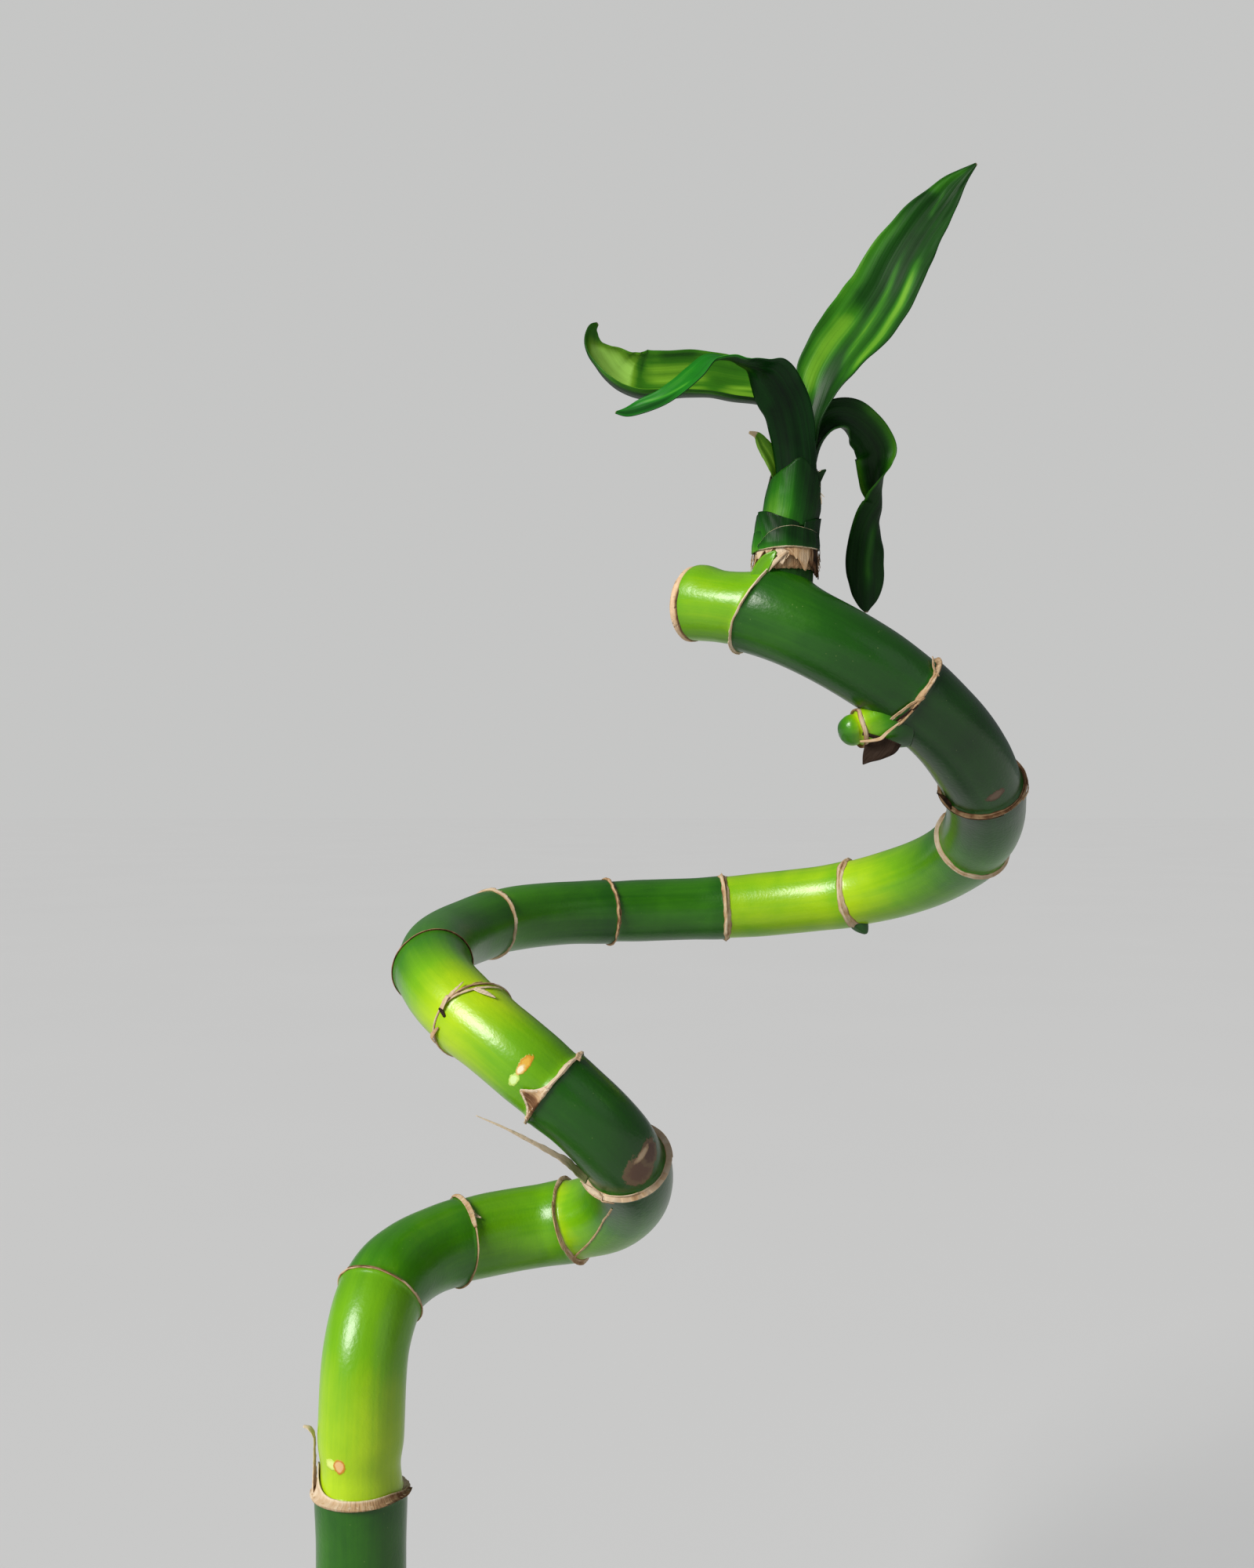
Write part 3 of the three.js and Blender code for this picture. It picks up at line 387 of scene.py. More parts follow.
# Sheaths round the shoot, by stations of angle, lower and upper edge, the lift of each and lightness; then
# how the lift grows, how creased the sheath is, and how dry its lower and upper margins are
SHEATHS = {
    # The lightness is partly painted light and shade: lighter towards the left where light falls, darker
    # towards the right where shade falls
    "front": {"stations": [
        (172, 319.8, 325.5, 0.3, 0.5, 0.4), (200, 319.4, 327.2, 0.35, 0.7, 0.55),
        (225, 318.8, 328.2, 0.4, 1.2, 0.68), (250, 318.1, 329.4, 0.4, 2, 0.6),
        (272, 317.8, 330.9, 0.4, 2.6, 0.36), (290, 317.8, 329.6, 0.4, 2.3, 0.24),
        (305, 317.8, 328.4, 0.4, 1.9, 0.18), (323, 317.8, 325, 0.4, 1.3, 0.15),
        (345, 318, 321, 0.4, 0.7, 0.15),
    ], "swell": 1.5, "crease": 0.08, "dry_low": 0.1, "dry_high": 0.45},
    "rear": {"stations": [
        (-40, 318, 323, 0.3, 0.5, 0.14), (0, 318, 328, 0.3, 0.6, 0.16), (60, 318, 333, 0.3, 0.7, 0.22),
        (120, 318, 333, 0.3, 0.7, 0.26), (190, 318.5, 327, 0.25, 0.5, 0.3),
    ], "swell": 1, "crease": 0.02, "dry_low": 0, "dry_high": 0.5},
    # The lighter left part of this scale is a painted highlight
    "scale_high": {"stations": [
        (160, 317, 319.6, 0.6, 0.9, 0.3), (180, 316.2, 320.4, 0.8, 1.3, 0.42),
        (200, 315.8, 321, 0.9, 1.6, 0.44), (225, 315.6, 320.7, 0.95, 1.5, 0.34),
        (250, 316, 319.6, 0.9, 1.3, 0.14), (284, 316.4, 318.4, 0.8, 1, 0.05),
    ], "swell": 1, "crease": 0.3, "dry_low": 0, "dry_high": 0.15},
    "scale_middle": {"stations": [
        (206, 313.5, 314.2, 0.9, 1, 0.4), (219, 313.4, 314.8, 1, 1.2, 0.46),
        (231, 313.4, 316.2, 1.1, 1.4, 0.44), (246, 313.5, 317.2, 1.1, 1.5, 0.32),
        (270, 313.6, 317.7, 1.1, 1.5, 0.22), (300, 313.5, 317.2, 1, 1.3, 0.14),
        (330, 313.5, 316.8, 0.8, 0.9, 0.1),
    ], "swell": 1, "crease": 0.14, "dry_low": 0.95, "dry_high": 0.75},
    "scale_left": {"stations": [
        (156, 313.4, 316, 0.7, 0.8, 0.5), (175, 313.2, 317, 0.9, 1.05, 0.62),
        (195, 313.2, 317.3, 1, 1.15, 0.6), (214, 313.4, 317.1, 0.9, 1, 0.5),
        (232, 313.6, 316.4, 0.7, 0.8, 0.4),
    ], "swell": 1, "crease": 0.05, "dry_low": 0.4, "dry_high": 0.5},
    "scale_right": {"stations": [
        (296, 314.4, 318.6, 0.6, 0.8, 0.08), (330, 313.8, 319.6, 0.7, 0.9, 0.06),
        (360, 313.8, 320, 0.7, 0.9, 0.08), (395, 313.9, 319.8, 0.7, 0.9, 0.1),
        (420, 314.2, 318.6, 0.6, 0.8, 0.12),
    ], "swell": 1, "crease": 0.12, "dry_low": 0.3, "dry_high": 0.2},
    "scale_rear": {"stations": [
        (50, 314, 318.8, 0.5, 0.7, 0.14), (90, 313.9, 319.8, 0.7, 0.9, 0.18),
        (130, 313.8, 319.4, 0.7, 0.9, 0.2), (172, 313.8, 318.4, 0.6, 0.8, 0.3),
    ], "swell": 1, "crease": 0.14, "dry_low": 0.3, "dry_high": 0.2},
}
SHEATH_MESH = {"rows": 24, "columns": 90}
SHEATH_LOOK = {"fray": 0.04, "foot": 0.06, "fall": 0.34, "darkest": 0.08, "cool": 0.4}
SHEATH_MARGINS = {"low": 0.12, "high": 0.05}  # how broad the dry margins are, as shares of the sheath

# Green tongue of the cane between the dry flakes, and the dry edge that the top ring carries up beside it:
# angle round the shoot, height, lift and width
TONGUE = [
    (208, 306.4, 0.5, 4.8), (217, 308.4, 0.75, 4.2), (227, 310.2, 1, 3.2), (238, 311.6, 1.2, 2.2),
    (248, 312.8, 1.2, 0.5),
]
TONGUE_EDGE = [
    (224, 307.3, 1, 0.5), (236, 309.2, 1.3, 0.7), (248, 310.7, 1.5, 0.9), (258, 311.9, 1.5, 0.7),
    (266, 312.8, 1.4, 0.3),
]
TONGUE_BODY = {"points": 40, "cells": 4, "cup": 40.0, "thickness": 0.5, "tone": 0.66}
TONGUE_EDGE_BODY = {"points": 30, "cells": 1, "cup": 20.0, "shade": 0.2}

# Papery flakes round the foot of the shoot: middle angle, half span, point, upper edge, lift, how pale, and
# how far the point is swept sideways as a share of the half span
# The flakes on the right side are darker, partly as painted shade
FLAKES = [
    (190, 28, 309.7, 314.7, 0.5, 0.12, -0.5), (212, 20, 311.6, 314.8, 0.8, 0.2, 0),
    (231, 14, 312, 314.6, 1, 0.1, 0.3), (256, 18, 310.2, 314.5, 1, 0.2, 0.2),
    (276, 14, 311.2, 314.5, 1.1, 0.08, 0.5), (290, 20, 309, 314.2, 1.25, 0.04, 0.4),
    (305, 16, 310, 314, 1, -0.2, 0.5), (322, 22, 308.4, 314, 0.7, -0.3, 0.3),
    (345, 24, 308, 313.8, 0.8, -0.32, 0.2), (372, 26, 308.6, 314, 0.6, -0.15, -0.2),
    (402, 24, 308.2, 314.4, 0.8, -0.05, 0.3), (432, 26, 309.4, 314.6, 0.6, 0.05, -0.3),
    (460, 22, 309, 314.8, 0.85, 0.1, 0.2), (488, 26, 309.6, 314.6, 0.6, 0.02, 0),
    (514, 22, 309, 314.8, 0.75, 0.1, -0.4),
]
FLAKE_MESH = {"rows": 14, "columns": 56}
INNER_BAND = {"low": 309.6, "high": 314.9, "lifts": (0.15, 0.25), "shade": -0.06, "fray": 0.3, "columns": 160}
COLLAR_FIBRES = {
    "count": 44, "seed": 88, "points": 14, "low": (309.5, 312), "drift": (2, 26), "rise": (1.2, 3),
    "width": (0.15, 0.45), "shade": (-0.3, 0.25), "lifts": (1.3, 1.15, 1), "tip": 0.08,
}
HAIRS = [
    [(86.4, 9.9, 325.6), (87.3, 9.6, 324.8), (88.3, 9.4, 323.7)],
    [(86.9, 9.8, 324.9), (87.6, 9.5, 323.9), (87.8, 9.4, 322.3)],
    [(86.5, 10, 328.2), (87.2, 9.8, 328.6), (87.7, 9.7, 328.9)],
]
HAIR = {"points": 24, "widths": (0.3, 0.12), "shade": 0.4, "faces": (0, -1, 0)}

VASE = {"height": 98, "foot": 30, "rim": 36, "wall": 4, "floor": 6, "foot_round": 2, "lip_round": 1.8}
VASE_SIDES = 160
VASE_HUB = 0.5  # radius at which its rows stop under the middle
VASE_ROWS = {"under": 6, "side": 60, "bore": 20, "floor": 4, "rounding": 8}
# Bare clay: below what height and outside what radius, how high the underside counts, and where it fades
BARE_CLAY = {"below": 7, "outside": 20, "underside": 0.5, "fades_from": 2.5, "fades_over": 4}
WORN_LIP = 1
RIBS = 1.9  # throwing ribs, in radians a millimetre
PEBBLES = {
    "top": 84, "rings": 4, "first": 12.5, "step": 6, "spacing": 12.2, "seed": 7, "tone_seed": 5, "detail": 3,
}
PEBBLE = {
    "radius": (5.6, 8.05), "width": (0.72, 0.92), "height": (0.55, 0.7), "tip": (-0.25, 0.25),
    "along": (0, 0.6), "across": (-0.6, 0.6), "up": (-0.64, 0.96),
}
PEBBLE_TONES = {0.12: 0.08, 0.25: 0.14, 0.4: 0.18, 0.5: 0.2, 0.62: 0.16, 0.75: 0.14, 0.95: 0.1}
GRAVEL = {
    "count": 70, "radius": (1.8, 3.2), "seed": 21, "detail": 2, "reach": (10, 30), "rise": (0.5, 3.5),
    "scale": (1, 0.85, 0.7), "spin": (0, 6), "tip": 0.2,
}
LUMPS = {"count": 4, "size": 0.035, "waves": (-2.6, 2.6), "shift": (0, 6)}
STONE_ROOM = {"cane": 0.2, "wall": 0.35}  # how far the stones stay from the cane and from the vase
STONE_GRAIN = (3.1, 1.7)  # how far each stone's grain is from the one before
GENERATOR = {"factor": 1664525, "step": 1013904223, "size": 2**32}
# The fill under the top pebbles, and its profile: share of the bore and height above the fill's top
BED = {"sides": 96, "below": 0.6, "clear": 0.4, "tone": 0.12}
BED_PROFILE = [(0.3, -8), (0.99, -8), (0.995, -0.5), (0.97, 0), (0.75, 0), (0.5, 0), (0.3, 0)]

# Where the seeds of each kind of wobble start
SEEDS = {
    "core": 40, "ring": 100, "cut_reach": 300, "cut_rise": 330, "cut_edge": 340, "cut_rind": 360,
    "bud_rim_edge": 410, "bud_rim_reach": 420, "bud_rim_shade": 430, "loose": 500, "rim_width": 600,
    "rim_edge": 620, "rim_lift": 640, "rim_shade": 660, "rim_groove": 680, "loose_path": 700, "folds": 800,
    "low_edge": 860, "high_edge": 870, "flake_shade": 880, "bud": 900, "loose_lift": 1700,
}

# Colours by lightness, each a share and a colour
CANE_COLOURS = [
    (0, (0.003, 0.028, 0.002)), (0.25, (0.01, 0.08, 0.002)), (0.5, (0.04, 0.19, 0.002)),
    (0.75, (0.14, 0.36, 0.002)), (1, (0.38, 0.56, 0.004)),
]
LEAF_COLOURS = [
    (0, (0.002, 0.014, 0.002)), (0.25, (0.01, 0.07, 0.004)), (0.5, (0.04, 0.19, 0.006)),
    (0.75, (0.18, 0.42, 0.02)), (1, (0.48, 0.88, 0.14)),
]
EMERALD_COLOURS = [
    (0, (0.001, 0.012, 0.002)), (0.25, (0.003, 0.075, 0.004)), (0.5, (0.008, 0.21, 0.008)),
    (0.75, (0.09, 0.42, 0.03)), (1, (0.55, 0.78, 0.3)),
]
# The darkest stop is deep so that the darkest dry pieces can carry painted shade
PAPER_COLOURS = [
    (0.15, (0.03, 0.014, 0.006)), (0.35, (0.24, 0.11, 0.045)), (0.55, (0.58, 0.38, 0.2)),
    (0.85, (0.82, 0.68, 0.5)),
]
STONE_COLOURS = [
    (0, (0.1, 0.09, 0.08)), (0.2, (0.3, 0.28, 0.25)), (0.45, (0.52, 0.46, 0.38)), (0.7, (0.62, 0.6, 0.56)),
    (1, (0.8, 0.78, 0.72)),
]
DRY_LEAF_COLOURS = [(0.3, (0.5, 0.34, 0.16)), (0.7, (0.86, 0.76, 0.56))]
CUT_COLOURS = [(0, (0.64, 0.45, 0.28)), (0.4, (0.44, 0.26, 0.12)), (1, (0.1, 0.045, 0.015))]
GLAZE_COLOURS = [(0.3, (0.66, 0.62, 0.54)), (0.7, (0.78, 0.75, 0.68))]
CLAY_COLOURS = [(0.3, (0.36, 0.25, 0.16)), (0.7, (0.5, 0.37, 0.25))]
CANE_DOTS = (0.5, 0.6, 0.2)
RING_BROWN = (0.16, 0.1, 0.025)
LEAF_GLOW = (0.9, 1.0, 0.35)
FRESH_SHEATH = (0.34, 0.42, 0.12)
CUT_DOTS = (0.22, 0.12, 0.05)
GLAZE_SPECKS = (0.2, 0.13, 0.08)
GLAZE_DUST = (0.34, 0.25, 0.17)
GLAZE_WORN = (0.52, 0.4, 0.28)
STONE_SPECKS = (0.12, 0.1, 0.09)


# Curves and small sums

def smooth(value):
    t = np.clip(value, 0, 1)
    return t * t * (3 - 2 * t)


def hump(offset, spread):
    """1 at no offset, falling away evenly on both sides."""
    return np.exp(-((offset / spread) ** 2))


def ripple(share, terms, base=0.0):
    """A sum of sines along a line, on top of a base; each term is its size and its turns in radians."""
    return sum((size * np.sin(share * turns) for size, turns in terms), base)


def unit(vectors):
    return vectors / np.linalg.norm(vectors, axis=-1, keepdims=True)


def centripetal(stations, per=40):
    """Points of the centripetal curve through stations; columns past the third follow along."""
    p = np.array(stations, float)
    p = np.vstack([2 * p[0] - p[1], p, 2 * p[-1] - p[-2]])
    spans = []
    for a, b, c, d in zip(p[:-3], p[1:-2], p[2:-1], p[3:]):
        t1, t2, t3 = (np.linalg.norm(v[:3]) ** 0.5 for v in (b - a, c - b, d - c))
        start = ((b - a) / t1 - (c - a) / (t1 + t2) + (c - b) / t2) * t2
        end = ((c - b) / t2 - (d - b) / (t2 + t3) + (d - c) / t3) * t2
        u = np.linspace(0, 1, per, endpoint=False)[:, None]
        bend = (3 * (c - b) - 2 * start - end) * u**2
        spans.append(b + start * u + bend + (2 * (b - c) + start + end) * u**3)
    spans.append(p[-2:-1])
    return np.vstack(spans)


def lengths(points):
    steps = np.linalg.norm(np.diff(points[:, :3], axis=0), axis=1)
    return np.concatenate([[0], np.cumsum(steps)])


def evenly(points, count):
    """The same curve at evenly spaced distances."""
    along = lengths(points)
    at = np.linspace(0, along[-1], count)
    return np.stack([np.interp(at, along, column) for column in points.T], 1)


def waves(angle, seed, size, turns=(2, 3, 5, 8)):
    """A smooth wobble that closes round a circle, repeatable from its seed."""
    draw = np.random.RandomState(seed)
    total = np.zeros_like(angle, dtype=float)
    for turn in turns:
        total += draw.uniform(0.4, 1) / turn**0.5 * np.sin(turn * angle + draw.uniform(0, 2 * np.pi))
    return size * total


# The cane's frame: where its centreline runs and which way its skin faces

def cane_track():
    points = evenly(centripetal(CANE_ROUTE, CANE_TRACK["each_span"]), CANE_TRACK["points"])
    tangents = unit(np.gradient(points, axis=0))
    normals = np.zeros_like(points)
    normal = np.array([1.0, 0, 0])
    for i, tangent in enumerate(tangents):
        normal = unit(normal - tangent * (normal @ tangent))
        normals[i] = normal
    return lengths(points), points, normals, np.cross(tangents, normals), tangents


TRACK = cane_track()
CANE_LENGTH = TRACK[0][-1]
SKIN_END = CANE_LENGTH - CUT_DEPTH


def on_track(distance, which):
    return np.stack([np.interp(distance, TRACK[0], TRACK[which][:, k]) for k in range(3)], -1)


def ring_at(index, angle):
    """Distance along the cane of a ring, at an angle round it."""
    distance, _, lean, furthest = RINGS[index][:4]
    wobble = waves(angle, SEEDS["ring"] + index, RING_WOBBLE)
    return distance + lean * np.cos(angle - math.radians(furthest)) + wobble


def internode(distance, angle):
    """Which internode a point lies on, how far along it, and how far from the nearest ring."""
    rings = np.stack([ring_at(i, angle) + 0 * distance for i in range(len(RINGS))])
    past = distance - rings
    index = (past >= 0).sum(0)
    edges = np.concatenate([0 * rings[:1], rings, 0 * rings[:1] + CANE_LENGTH])
    start = np.take_along_axis(edges, index[None], 0)[0]
    end = np.take_along_axis(edges, index[None] + 1, 0)[0]
    return index, (distance - start) / (end - start), np.abs(past).min(0)


def outward(distance, angle):
    return on_track(distance, 2) * np.cos(angle)[..., None] + on_track(distance, 3) * np.sin(angle)[..., None]


def cane_radius(distance, angle):
    index, along, nearest = internode(distance, angle)
    diameters = np.array([FOOT_DIAMETER] + [ring[1] for ring in RINGS])
    narrow = np.where(index > 0, RIDGE["above"] * (1 - smooth(along / RIDGE["to"])), 0)
    flare = np.where(index < len(RINGS), RIDGE["below"] * smooth((along - RIDGE["from"]) / RIDGE["over"]), 0)
    ridge = RIDGE["height"] * (1 - smooth(nearest / RIDGE["half_width"]))
    slim = SLIM["depth"] * hump(distance - SLIM["at"], SLIM["spread"])
    looks_up = smooth(outward(distance, angle)[..., 2])
    dip = WAIST["depth"] * smooth(along / WAIST["over"])
    dip = dip * (1 - smooth((along - WAIST["ends"]) / WAIST["fades"]))
    dip = dip + CUT_ROUND["depth"] * smooth((along - CUT_ROUND["starts"]) / CUT_ROUND["over"])
    waist = np.where(index == len(RINGS), dip * looks_up, 0)
    return (diameters[index] / 2 * (1 - narrow + flare) - slim) * (1 - waist) + ridge


def on_cane(distance, angle, lift=0.0):
    """Points on the cane's skin, or lifted off it."""
    out = outward(distance, angle)
    skin = on_track(distance, 1) + out * cane_radius(distance, angle)[..., None]
    beside = np.hypot(skin[..., 0] - SADDLE["centre"][0], skin[..., 1] - SADDLE["centre"][1])
    saddle = SADDLE["height"] * hump(beside, SADDLE["spread"]) * smooth(out[..., 2])
    return skin + out * (saddle + lift)[..., None]


def on_shoot(height, angle, lift):
    """Points on the shoot's core, or lifted off it."""
    table = np.array(SHOOT_SECTIONS)
    x, y, radius = (np.interp(height, table[:, 0], table[:, k]) for k in (1, 2, 3))
    reach = radius + lift
    return np.stack([x + reach * np.cos(angle), y + reach * np.sin(angle), height + 0 * angle], -1)


# Shapes: each is its points, its faces and its values, which become attributes

def grid_faces(rows, columns, wrap=False, loop=False):
    row, column = np.meshgrid(
        np.arange(rows if loop else rows - 1), np.arange(columns if wrap else columns - 1), indexing="ij")
    below = (row + 1) % rows
    beside = (column + 1) % columns
    here, beyond = row * columns, below * columns
    corners = [here + column, here + beside, beyond + beside, beyond + column]
    return np.stack(corners, -1).reshape(-1, 4).tolist()


def fan_faces(first, count, hub):
    return [(hub, first + k, first + (k + 1) % count) for k in range(count)]


def shape_of(points, faces, **values):
    points = np.asarray(points, float).reshape(-1, 3)
    return points, faces, {name: np.asarray(value, float) for name, value in values.items()}


def join(shapes):
    points, faces, start = [], [], 0
    for shape in shapes:
        points.append(shape[0])
        faces += [[corner + start for corner in face] for face in shape[1]]
        start += len(shape[0])
    values = {name: np.concatenate([shape[2][name] for shape in shapes]) for name in shapes[0][2]}
    return np.vstack(points), faces, values


def closed_tube(rows, **values):
    """A tube over rows of points, with a flat cap at each end; each value has one entry a point."""
    count, sides = rows.shape[:2]
    points = np.vstack([rows.reshape(-1, 3), rows[0].mean(0), rows[-1].mean(0)])
    faces = grid_faces(count, sides, wrap=True)
    faces += fan_faces(0, sides, count * sides) + fan_faces((count - 1) * sides, sides, count * sides + 1)
    for name, value in values.items():
        value = np.asarray(value, float).reshape((count * sides,) + np.shape(value)[2:])
        values[name] = np.concatenate([value, value[:1], value[-1:]])
    return shape_of(points, faces, **values)


def closed_sheet(upper, lower, loop=False, **values):
    """A thin closed body between two grids of points; a value is one grid, or one for each face."""
    rows, columns = upper.shape[:2]
    points = np.concatenate([lower, upper[:, ::-1]], 1)
    faces = grid_faces(rows, 2 * columns, wrap=True, loop=loop)
    if not loop:
        for first in (0, (rows - 1) * 2 * columns):
            last = first + 2 * columns - 1
            faces += [(first + k, first + k + 1, last - k - 1, last - k) for k in range(columns - 1)]
    flat = {}
    for name, value in values.items():
        above, below = value if isinstance(value, tuple) else (value, value)
        both = np.concatenate([below, above[:, ::-1]], 1)
        flat[name] = both.reshape((rows * 2 * columns,) + both.shape[2:])
    return shape_of(points, faces, **flat)


def thin_body(centre, up, widths, cups, thickness, cells, relief=0.0, **values):
    """A thin cupped body along a line; up is where its upper face looks, and relief lifts it there."""
    tangent = unit(np.gradient(centre, axis=0))
    side = unit(np.cross(tangent, up))
    up = np.cross(side, tangent)
    across = np.linspace(-1, 1, 2 * cells + 1)
    bend = np.radians(np.maximum(cups, LEAST_CUP)) * np.ones(len(centre))
    radius = widths / 2 / np.sin(bend)
    angle = bend[:, None] * across
    half = thickness / 2 * (1 - THIN_EDGE * across**4)

    def layer(offset):
        reach = radius[:, None] - offset - relief
        sideways = side[:, None] * (reach * np.sin(angle))[..., None]
        return centre[:, None] + sideways + up[:, None] * (radius[:, None] - reach * np.cos(angle))[..., None]

    grain = np.zeros((len(centre), len(across), 3))
    grain[..., 0] = radius[:, None] * angle
    grain[..., 2] = lengths(centre)[:, None]
    return closed_sheet(layer(half), layer(-half), grain=grain, **values)


def level(value, line, cells):
    """A value for a whole thin body, or one for each point of its line, spread over its cells."""
    return np.zeros((len(line), 2 * cells + 1)) + np.reshape(value, (-1, 1))


def patch(stations, place, thickness, swell=1.0, crease=0.0, fray=0.0, seed=0, rows=10, columns=60):
    """A sheet round the cane or shoot: its two faces, its grain, its shade and how far up each point is."""
    # The curve counts angles in tens of degrees, so that they weigh about as much as heights
    table = centripetal(np.array(stations, float) * [0.1, 1, 1, 1, 1, 1], 10)
    degrees = np.linspace(stations[0][0], stations[-1][0], columns)
    low, high, low_lift, high_lift, shade = (
        np.interp(degrees / 10, table[:, 0], table[:, k]) for k in range(1, 6))
    up = np.linspace(0, 1, rows)[:, None]
    angle = np.radians(degrees) + 0 * up
    low = low + waves(angle[:1], SEEDS["low_edge"] + seed, fray, (23, 31, 44, 61))
    high = high + waves(angle[:1], SEEDS["high_edge"] + seed, fray * 0.6, (19, 28, 41, 57))
    at = low + (high - low) * up
    folds = waves(angle + 0.1 * at, SEEDS["folds"] + seed, crease, (5, 8, 13, 19)) * (0.4 + 0.6 * up)
    lift = low_lift + (high_lift - low_lift) * up**swell + folds
    grain = np.stack([SKIN_RADIUS * angle, 0 * at, at], -1)
    return place(at, angle, lift + thickness), place(at, angle, lift), grain, shade + 0 * at, up + 0 * at


# Making pieces

def piece(name, shape, material, slot, *replaced):
    """A named object in metres from a shape, riding on the part's one body."""
    points, faces, values = shape
    mesh = bpy.data.meshes.new(name)
    mesh.from_pydata((points * MM).tolist(), [], faces)
    for label, value in values.items():
        kind, key = ("FLOAT_VECTOR", "vector") if value.ndim == 2 else ("FLOAT", "value")
        scale = MM if label == "grain" else 1
        mesh.attributes.new(label, kind, "POINT").data.foreach_set(key, (value * scale).ravel())
    work = bmesh.new()
    work.from_mesh(mesh)
    bmesh.ops.recalc_face_normals(work, faces=work.faces)
    work.to_mesh(mesh)
    work.free()
    mesh.shade_smooth()
    mesh.materials.append(material)
    obj = bpy.data.objects.new(name, mesh)
    bpy.context.scene.collection.objects.link(obj)
    if replaced:
        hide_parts(*replaced)
    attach(obj, "root")


# Node helpers

class Nodes:
    """Adds nodes to a tree and joins them; a value for a socket is a number, a colour or another socket."""

    def __init__(self, tree):
        self.tree = tree

    def add(self, kind, inputs=None, **settings):
        node = self.tree.nodes.new(kind)
        for name, value in settings.items():
            setattr(node, name, value)
        for key, value in (inputs or {}).items():
            self.feed(node.inputs[key], value)
        return node

    def feed(self, socket, value):
        if isinstance(value, bpy.types.NodeSocket):
            self.tree.links.new(value, socket)
        else:
            socket.default_value = value

    def attribute(self, name):
        return self.add("ShaderNodeAttribute", attribute_name=name, attribute_type="GEOMETRY")

    def grain(self):
        return self.attribute("grain").outputs["Vector"]

    def value(self, name):
        return self.attribute(name).outputs["Fac"]

    def sum(self, operation, a, b):
        return self.add("ShaderNodeMath", {0: a, 1: b}, operation=operation).outputs[0]

    def times(self, value, weight):
        return self.sum("MULTIPLY", value, weight)

    def vary(self, value, weight):
        """A shade about 0.5 as a change about 0, times a weight."""
        return self.times(self.sum("SUBTRACT", value, 0.5), weight)

    def add_up(self, *values):
        total = values[0]
        for value in values[1:]:
            total = self.sum("ADD", total, value)
        return total

    def measure(self, operation, a, b=(0, 0, 0)):
        return self.add("ShaderNodeVectorMath", {0: a, 1: b}, operation=operation)

    def stretch(self, value, low, high, to_low=0.0, to_high=1.0):
        inputs = {"Value": value, "From Min": low, "From Max": high, "To Min": to_low, "To Max": to_high}
        return self.add("ShaderNodeMapRange", inputs).outputs[0]

    def noise(self, vector, scale, detail=2.0, roughness=0.5, distortion=0.0):
        inputs = {"Vector": vector, "Scale": scale, "Detail": detail, "Roughness": roughness,
                  "Distortion": distortion}
        return self.add("ShaderNodeTexNoise", inputs).outputs["Fac"]

    def ramp(self, factor, stops):
        node = self.add("ShaderNodeValToRGB", {"Fac": factor})
        elements = node.color_ramp.elements
        while len(elements) < len(stops):
            elements.new(0.5)
        for element, (place, colour) in zip(elements, stops):
            element.position = place
            element.color = (*colour, 1)
        return node.outputs["Color"]

    def blend(self, factor, a, b, kind="MIX"):
        inputs = {0: factor}
        for key, colour in ((6, a), (7, b)):
            inputs[key] = colour if isinstance(colour, bpy.types.NodeSocket) else (*colour, 1)
        return self.add("ShaderNodeMix", inputs, data_type="RGBA", blend_type=kind).outputs[2]

    def bump(self, height, distance, strength):
        inputs = {"Height": height, "Distance": distance, "Strength": strength}
        return self.add("ShaderNodeBump", inputs).outputs[0]

    def principled(self, colour, roughness, others):
        inputs = {"Base Color": colour, "Roughness": roughness, **others}
        return self.add("ShaderNodeBsdfPrincipled", inputs).outputs[0]

    def mix(self, share, first, second):
        return self.add("ShaderNodeMixShader", {0: share, 1: first, 2: second}).outputs[0]

    def group(self, tree, **inputs):
        node = self.add("ShaderNodeGroup", node_tree=tree)
        for name, value in inputs.items():
            self.feed(node.inputs[name], value)
        return node.outputs


def new_group(name, inputs, outputs):
    """An empty node group; inputs are name to a default number, or to None for a vector."""
    tree = bpy.data.node_groups.new(name, "ShaderNodeTree")
    for label, value in inputs.items():
        kind = "NodeSocketVector" if value is None else "NodeSocketFloat"
        socket = tree.interface.new_socket(name=label, in_out="INPUT", socket_type=kind)
        if value is not None:
            socket.default_value = value
    for label in outputs:
        tree.interface.new_socket(name=label, in_out="OUTPUT", socket_type="NodeSocketFloat")
    n = Nodes(tree)
    return n, n.add("NodeGroupInput").outputs, n.add("NodeGroupOutput").inputs


def fibres_group():
    """Fine and broad streaks that run lengthwise: Across and Along are streaks a metre."""
    n, given, result = new_group("lengthwise fibres", {"Grain": None, "Across": 1500.0, "Along": 60.0},
                                 ["Fine", "Broad"])
    scales = {0: given["Across"], 1: given["Across"], 2: given["Along"]}
    scale = n.add("ShaderNodeCombineXYZ", scales).outputs[0]
    fine = n.measure("MULTIPLY", given["Grain"], scale).outputs[0]
    n.feed(result["Fine"], n.noise(fine, 1.0, 3.0, 0.6))
    n.feed(result["Broad"], n.noise(fine, 0.22, 2.0, 0.5, 0.4))
    return n.tree


def mottle_group():
    """Soft cloudy shade."""
    n, given, result = new_group("soft mottle", {"Grain": None, "Scale": 120.0}, ["Shade"])
    n.feed(result["Shade"], n.noise(given["Grain"], given["Scale"], 3.0, 0.55, 0.3))
    return n.tree


